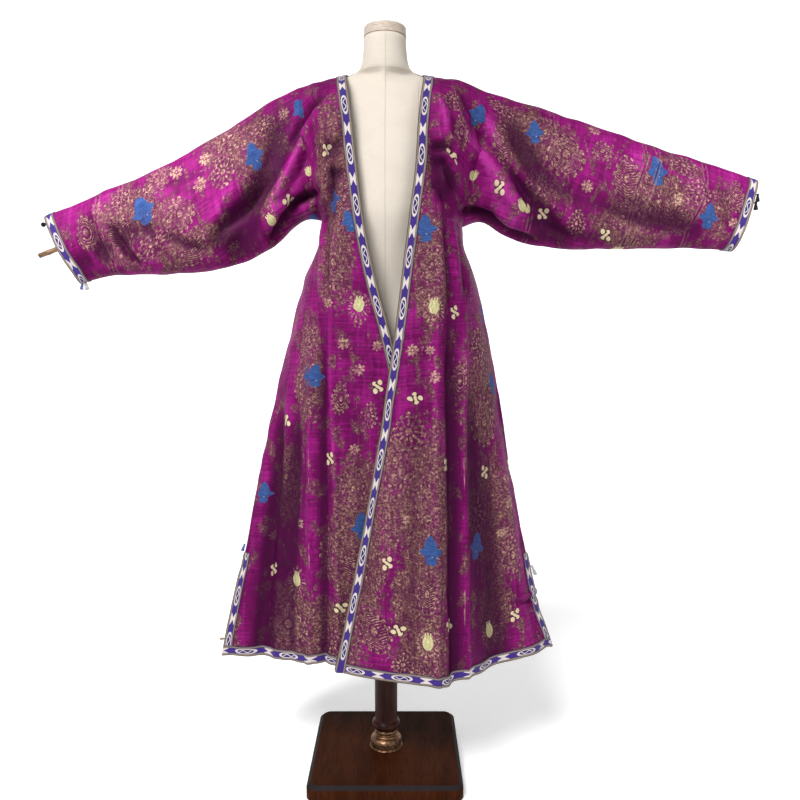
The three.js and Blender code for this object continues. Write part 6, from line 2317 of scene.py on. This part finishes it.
def cane(side):
    """A straight cane with swollen joints and a hollow outer end."""
    (x0, z0), (x1, z1) = RODS[side]
    start, end = np.array((x0, 0, z0), dtype=float), np.array((x1, 0, z1), dtype=float)
    length = np.linalg.norm(end - start)
    way = (end - start) / length
    level = np.array((0.0, 1.0, 0.0))
    up = np.cross(level, way)
    turn = np.linspace(0, 2 * np.pi, 32, endpoint=False)
    joints = np.arange(length - NODE_FROM_END, 20, -NODE_SPACING)
    near = np.concatenate([joints + step for step in (-9, -4, -2, -1, -0.4, 0, 0.4, 1, 2, 5, 10)])
    stations = np.unique(np.clip(np.concatenate([np.linspace(0, length, 30), near]), 0, length))
    rings = []
    for s in stations:
        swelling = sum(NODE_SWELLING * math.exp(-(((s - joint) / 2.6) ** 2)) for joint in joints)
        groove = sum(NODE_GROOVE * math.exp(-(((s - joint - 0.4) / 0.5) ** 2)) for joint in joints)
        radius = ROD_RADIUS - NODE_SWELLING + swelling - groove + 0.25 * math.sin(s / 31)
        wobble = 1 + 0.02 * np.sin(turn * 3 + s / 40)
        rings.append(start + way * s + spokes(level, up, turn) * (radius * wobble)[:, None])
    # The outer end is flat round a bore, which narrows as it goes in.
    inside = end - way * 0.8
    bore = ((CANE_BORE, end), (CANE_BORE - 0.2, inside - way * 6), (CANE_BORE - 0.6, inside - way * 8))
    for radius, at in ((ROD_RADIUS - 1.5, end), *bore):
        rings.append(at + spokes(level, up, turn) * radius)
    return rings


rings_piece("form_linen", form_rings(), linen(), "form_torso")
rings_piece("form_cap", turned_rings(rounded(CAP_PROFILE, 0.5)), pale_wood(), "form_neck_cap")
rings_piece("post_turned", turned_rings(rounded(POST_PROFILE, 4, 5)), turned_mahogany(), "post")
brass_rings = turned_rings(rounded(COLLAR_PROFILE, 1.1))
rings_piece("collar_turned", brass_rings, old_brass(), "brass_collar", closed=True)
rings_piece("base_board", [base_ring(grow, z) for grow, z in BASE_ROWS], mahogany(), "base")
cane_finish = bamboo()
for side in RODS:
    rings_piece(f"cane_{side}", cane(side), cane_finish, f"sleeve_rod_{side}")


# ---------------------------------------------------------------- tassels, knot and ring
# Length, widest radius, lean outwards in radians, thread.
TASSELS = {
    "tassel_cuff_left_upper": (17, 4.2, 0, "black"),
    "tassel_cuff_left_lower": (18, 4.6, 0, "black"),
    "tassel_slit_right": (17, 3.6, 0.32, "blue"),
    "tassel_slit_left": (24, 4.2, -0.42, "grey"),
}
CLUSTER = ((0.22, "blue"), (0.0, "white"), (-0.22, "grey"))
CLUSTER_SIZE = (14, 4.4)
STRANDS = 30
BODY_MIDDLE = 0.36  # from a tassel's head down to the middle of its length, as a share of the length
KNOT_RADIUS = 5
KNOT_TURNS = 12
KNOT_THREAD = 0.95  # radii of the threads and plies
RING_RADIUS = 4
RING_PLY = 0.72
RING_PLY_OUT = 0.6  # how far a ply lies from the middle of the ring's cord
RING_TWISTS = 9


def tube(points, radii, sides):
    """Points and faces of a tube along a line of points, shut at both ends."""
    points = np.asarray(points, dtype=float)
    ways = np.gradient(points, axis=0)
    ways /= np.linalg.norm(ways, axis=1, keepdims=True)
    turn = np.linspace(0, 2 * np.pi, sides, endpoint=False)
    rings = []
    for point, way, radius in zip(points, ways, radii):
        aside = np.cross(way, (0.31, 0.95, 0.05))
        aside /= np.linalg.norm(aside)
        rings.append(point + spokes(aside, np.cross(way, aside), turn) * radius)
    return skin(rings)


class Bundle:
    """Several tubes gathered into one mesh, each with its own material."""

    def __init__(self):
        self.points = []
        self.faces = []
        self.finish_of_face = []
        self.count = 0

    def add(self, points, faces, finish):
        """Adds a tube; finish is the place of its material in the list that piece() gets."""
        self.points.append(points)
        self.faces.extend(tuple(k + self.count for k in face) for face in faces)
        self.finish_of_face.extend([finish] * len(faces))
        self.count += len(points)

    def piece(self, name, finishes, node):
        piece = new_object(name, np.concatenate(self.points), self.faces)
        for finish in finishes:
            piece.data.materials.append(finish)
        piece.data.polygons.foreach_set("material_index", self.finish_of_face)
        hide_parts(node)


def add_tassel(bundle, head, length, radius, lean, seed, finish):
    """A knotted head, a wrapped neck and a skirt of loose strands."""
    random = np.random.default_rng(seed)
    up = np.array((math.sin(lean), 0, math.cos(lean)))
    aside = np.array((math.cos(lean), 0, -math.sin(lean)))
    level = np.array((0.0, 1.0, 0.0))

    def at(r, h, turn):
        """The point at a radius, height and angle about the tassel's own axis."""
        return head + up * h + (aside * math.cos(turn) + level * math.sin(turn)) * r

    for k in range(STRANDS):
        turn = 2 * math.pi * (k + random.uniform(-0.3, 0.3)) / STRANDS
        inner = random.uniform(0.25, 1.0)
        reach = length * random.uniform(0.78, 0.86)
        spread = radius * random.uniform(0.72, 1.0) * (0.4 + 0.6 * inner)
        twist = random.uniform(-0.25, 0.25)
        line = []
        for t in np.linspace(0, 1, 6):
            r = radius * 0.34 * inner + (spread - radius * 0.34 * inner) * t**0.7
            line.append(at(r, -length * 0.10 - (reach - length * 0.10) * t, turn + twist * t))
        bundle.add(*tube(line, [radius * share for share in (0.16, 0.20, 0.22, 0.22, 0.21, 0.15)], 5), finish)
    for k, h in enumerate((-0.09, -0.13, -0.17, -0.21)):
        ring = [at(radius * 0.46, length * h, turn) for turn in np.linspace(0, 2 * math.pi, 20)]
        bundle.add(*tube(ring, [radius * 0.12] * 20, 6), finish)
    for k in range(9):
        tilt = math.pi * k / 9
        loop = []
        for turn in np.linspace(0, 2 * math.pi, 20):
            out, high = math.cos(turn), math.sin(turn)
            place = aside * out * math.cos(tilt) + level * out * math.sin(tilt) + up * high
            loop.append(head + place * radius * 0.56)
        bundle.add(*tube(loop, [radius * 0.13] * 20, 6), finish)


def middle_of(node):
    """The middle of a node's box, in mm."""
    low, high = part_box(node)
    return (np.array(low) + np.array(high)) / 2 / MM


def tassel_head(node, length, lean):
    return middle_of(node) + np.array((math.sin(lean), 0, math.cos(lean))) * length * BODY_MIDDLE


thread_finishes = {name: thread(name) for name in THREADS}
for seed, (node, (length, radius, lean, colour)) in enumerate(TASSELS.items()):
    bundle = Bundle()
    add_tassel(bundle, tassel_head(node, length, lean), length, radius, lean, seed, 0)
    bundle.piece(node + "_threads", [thread_finishes[colour]], node)

cluster = Bundle()
cluster_low, cluster_high = (np.array(corner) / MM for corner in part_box("tassels_cuff_right"))
cluster_length, cluster_radius = CLUSTER_SIZE
heads = np.linspace(cluster_low[0] + cluster_radius + 3, cluster_high[0] - cluster_radius - 3, len(CLUSTER))
for k, (lean, colour) in enumerate(CLUSTER):
    y = (cluster_low[1] + cluster_high[1]) / 2
    head = np.array((heads[k], y, cluster_high[2] - 0.14 * cluster_length))
    add_tassel(cluster, head, cluster_length, cluster_radius, lean, 20 + k, k)
cluster.piece(
    "tassels_cuff_right_threads",
    [thread_finishes[colour] for _, colour in CLUSTER],
    "tassels_cuff_right",
)

knot = Bundle()
knot_middle = middle_of("knot_cuff_right")
for k in range(KNOT_TURNS):
    axis = np.array((math.cos(k * 2.4), math.sin(k * 2.4) * 0.8, 0.75 * math.cos(k * 1.7)))
    axis /= np.linalg.norm(axis)
    aside = np.cross(axis, (0.2, 0.3, 0.93))
    aside /= np.linalg.norm(aside)
    turns = np.linspace(0, 2 * math.pi, 24)
    loop = knot_middle + spokes(aside, np.cross(axis, aside), turns) * (KNOT_RADIUS - 1.0)
    knot.add(*tube(loop, [KNOT_THREAD] * 24, 6), 0)
knot.piece("knot_cuff_right_threads", [thread_finishes["black"]], "knot_cuff_right")

ring = Bundle()
ring_middle = middle_of("ring_hem_right")
for ply in range(3):
    turns = np.linspace(0, 2 * math.pi, 73)
    twist = turns * RING_TWISTS + ply * 2 * math.pi / 3
    out = RING_RADIUS + np.cos(twist) * RING_PLY_OUT
    line = np.stack([np.cos(turns) * out, np.sin(turns) * out, np.sin(twist) * RING_PLY_OUT], axis=1)
    ring.add(*tube(ring_middle + line, [RING_PLY] * 73, 6), 0)
ring.piece("ring_hem_right_threads", [thread_finishes["tan"]], "ring_hem_right")


# ---------------------------------------------------------------- the piece that carries each piece of cloth, worked out but not used
for name, piece in pieces.items():
    if name.startswith("sleeve"):
        carrier = ["cane_left" if name.endswith("left") else "cane_right"]
    elif name.startswith("tape_cuff"):
        carrier = [pieces[name.replace("tape", "sleeve")].name]
    elif name.startswith("tape"):
        carrier = [pieces["back_panel" if "back" in name else "front_panel_" + name.split("_")[-1]].name]
    else:
        carrier = ["form_linen"]


# ---------------------------------------------------------------- floor, light and camera
FLOOR_GLOW = 0.35  # the floor gives off a little light of its own, which keeps its shadow pale
ROOM_LIGHT = 0.20
SWEEP_FRONT = -4.0  # where the floor starts, in metres
SWEEP_START = 4.0  # where it begins to curve up into the wall behind
SWEEP_RADIUS = 2.0
SWEEP_TOP = 6.0
SWEEP_HALF = 8.0
FLOOR_DROP = 0.0005  # the floor lies this far under the base

# Far lights: elevation, turn to the left of the front, width of the light, all in degrees, and strength.
SUNS = {"key": (48, 26, 20, 2.5), "fill": (22, -44, 36, 0.75)}
# Near lamps: place, target, size, power, width of the beam in degrees.
LAMPS = {
    "top": ((-1.0, -1.4, 2.2), (-0.4, 0.0, 1.25), 0.7, 19, 180),
    "sleeve right": ((-1.0, -1.2, 2.3), (-0.46, -0.05, 1.27), 0.2, 0.95, 26),
    "sleeve left": ((0.95, -1.5, 2.0), (0.64, -0.05, 1.22), 0.25, 0.6, 30),
}
CAMERA_PLACE = (0.031, -1.650, 0.959)
CAMERA_DIP = 5.194  # degrees below level
CAMERA_LENS = 34.65
CAMERA_SENSOR = 36


def plain_pale():
    """The floor's finish."""
    make = Finish("studio floor")
    make.shader.inputs["Base Color"].default_value = (0.90, 0.90, 0.90, 1)
    make.shader.inputs["Roughness"].default_value = 0.9
    make.shader.inputs["Emission Color"].default_value = (1, 1, 1, 1)
    make.shader.inputs["Emission Strength"].default_value = FLOOR_GLOW
    return make.material


def studio_sweep():
    """A floor that curves up into a wall far behind, so that it has no horizon."""
    line = [(SWEEP_FRONT, 0.0), (SWEEP_START, 0.0)]
    for turn in np.linspace(0, math.pi / 2, 24)[1:]:
        line.append((SWEEP_START + SWEEP_RADIUS * math.sin(turn), SWEEP_RADIUS * (1 - math.cos(turn))))
    line.append((SWEEP_START + SWEEP_RADIUS, SWEEP_TOP))
    points = [(x, y, z) for y, z in line for x in (-SWEEP_HALF, SWEEP_HALF)]
    faces = [(2 * k, 2 * k + 1, 2 * k + 3, 2 * k + 2) for k in range(len(line) - 1)]
    mesh = bpy.data.meshes.new("studio floor")
    mesh.from_pydata(points, [], faces)
    mesh.polygons.foreach_set("use_smooth", [True] * len(faces))
    mesh.materials.append(plain_pale())
    floor = bpy.data.objects.new("studio_floor", mesh)
    floor.location.z = -FLOOR_DROP
    bpy.context.scene.collection.objects.link(floor)


studio_sweep()
world = bpy.data.worlds.new("studio")
world.use_nodes = True
world.node_tree.nodes["Background"].inputs[0].default_value = (1, 1, 1, 1)
# The room looks white, but lights the robe less than that, so that its folds keep their shade.
rays = world.node_tree.nodes.new("ShaderNodeLightPath")
strength = world.node_tree.nodes.new("ShaderNodeMapRange")
strength.inputs[3].default_value = ROOM_LIGHT
strength.inputs[4].default_value = 1.0
world.node_tree.links.new(rays.outputs["Is Camera Ray"], strength.inputs[0])
world.node_tree.links.new(strength.outputs[0], world.node_tree.nodes["Background"].inputs[1])
bpy.context.scene.world = world


def sun_light(name, elevation, turn, spread, strength):
    """A broad far light."""
    data = bpy.data.lights.new(name, "SUN")
    data.angle = math.radians(spread)
    data.energy = strength
    light = bpy.data.objects.new(name, data)
    light.rotation_euler = (math.radians(90 - elevation), 0, math.radians(-turn))
    bpy.context.scene.collection.objects.link(light)


def near_light(name, place, target, size, power, spread):
    """A soft round lamp near the robe."""
    data = bpy.data.lights.new(name, "AREA")
    data.shape = "DISK"
    data.size = size
    data.energy = power
    data.spread = math.radians(spread)
    light = bpy.data.objects.new(name, data)
    light.location = place
    dx, dy, dz = (target[k] - place[k] for k in range(3))
    light.rotation_euler = (math.atan2(math.hypot(dx, dy), -dz), 0, math.atan2(-dx, dy))
    bpy.context.scene.collection.objects.link(light)


sun_light("key", *SUNS["key"])
for name, settings in LAMPS.items():
    near_light(name, *settings)
sun_light("fill", *SUNS["fill"])

camera_data = bpy.data.cameras.new("camera")
camera_data.sensor_width = CAMERA_SENSOR
camera_data.lens = CAMERA_LENS
camera = bpy.data.objects.new("camera", camera_data)
camera.location = CAMERA_PLACE
camera.rotation_euler = (math.radians(90 - CAMERA_DIP), 0, 0)
bpy.context.scene.collection.objects.link(camera)
bpy.context.scene.camera = camera
bpy.context.scene.view_settings.view_transform = "Standard"
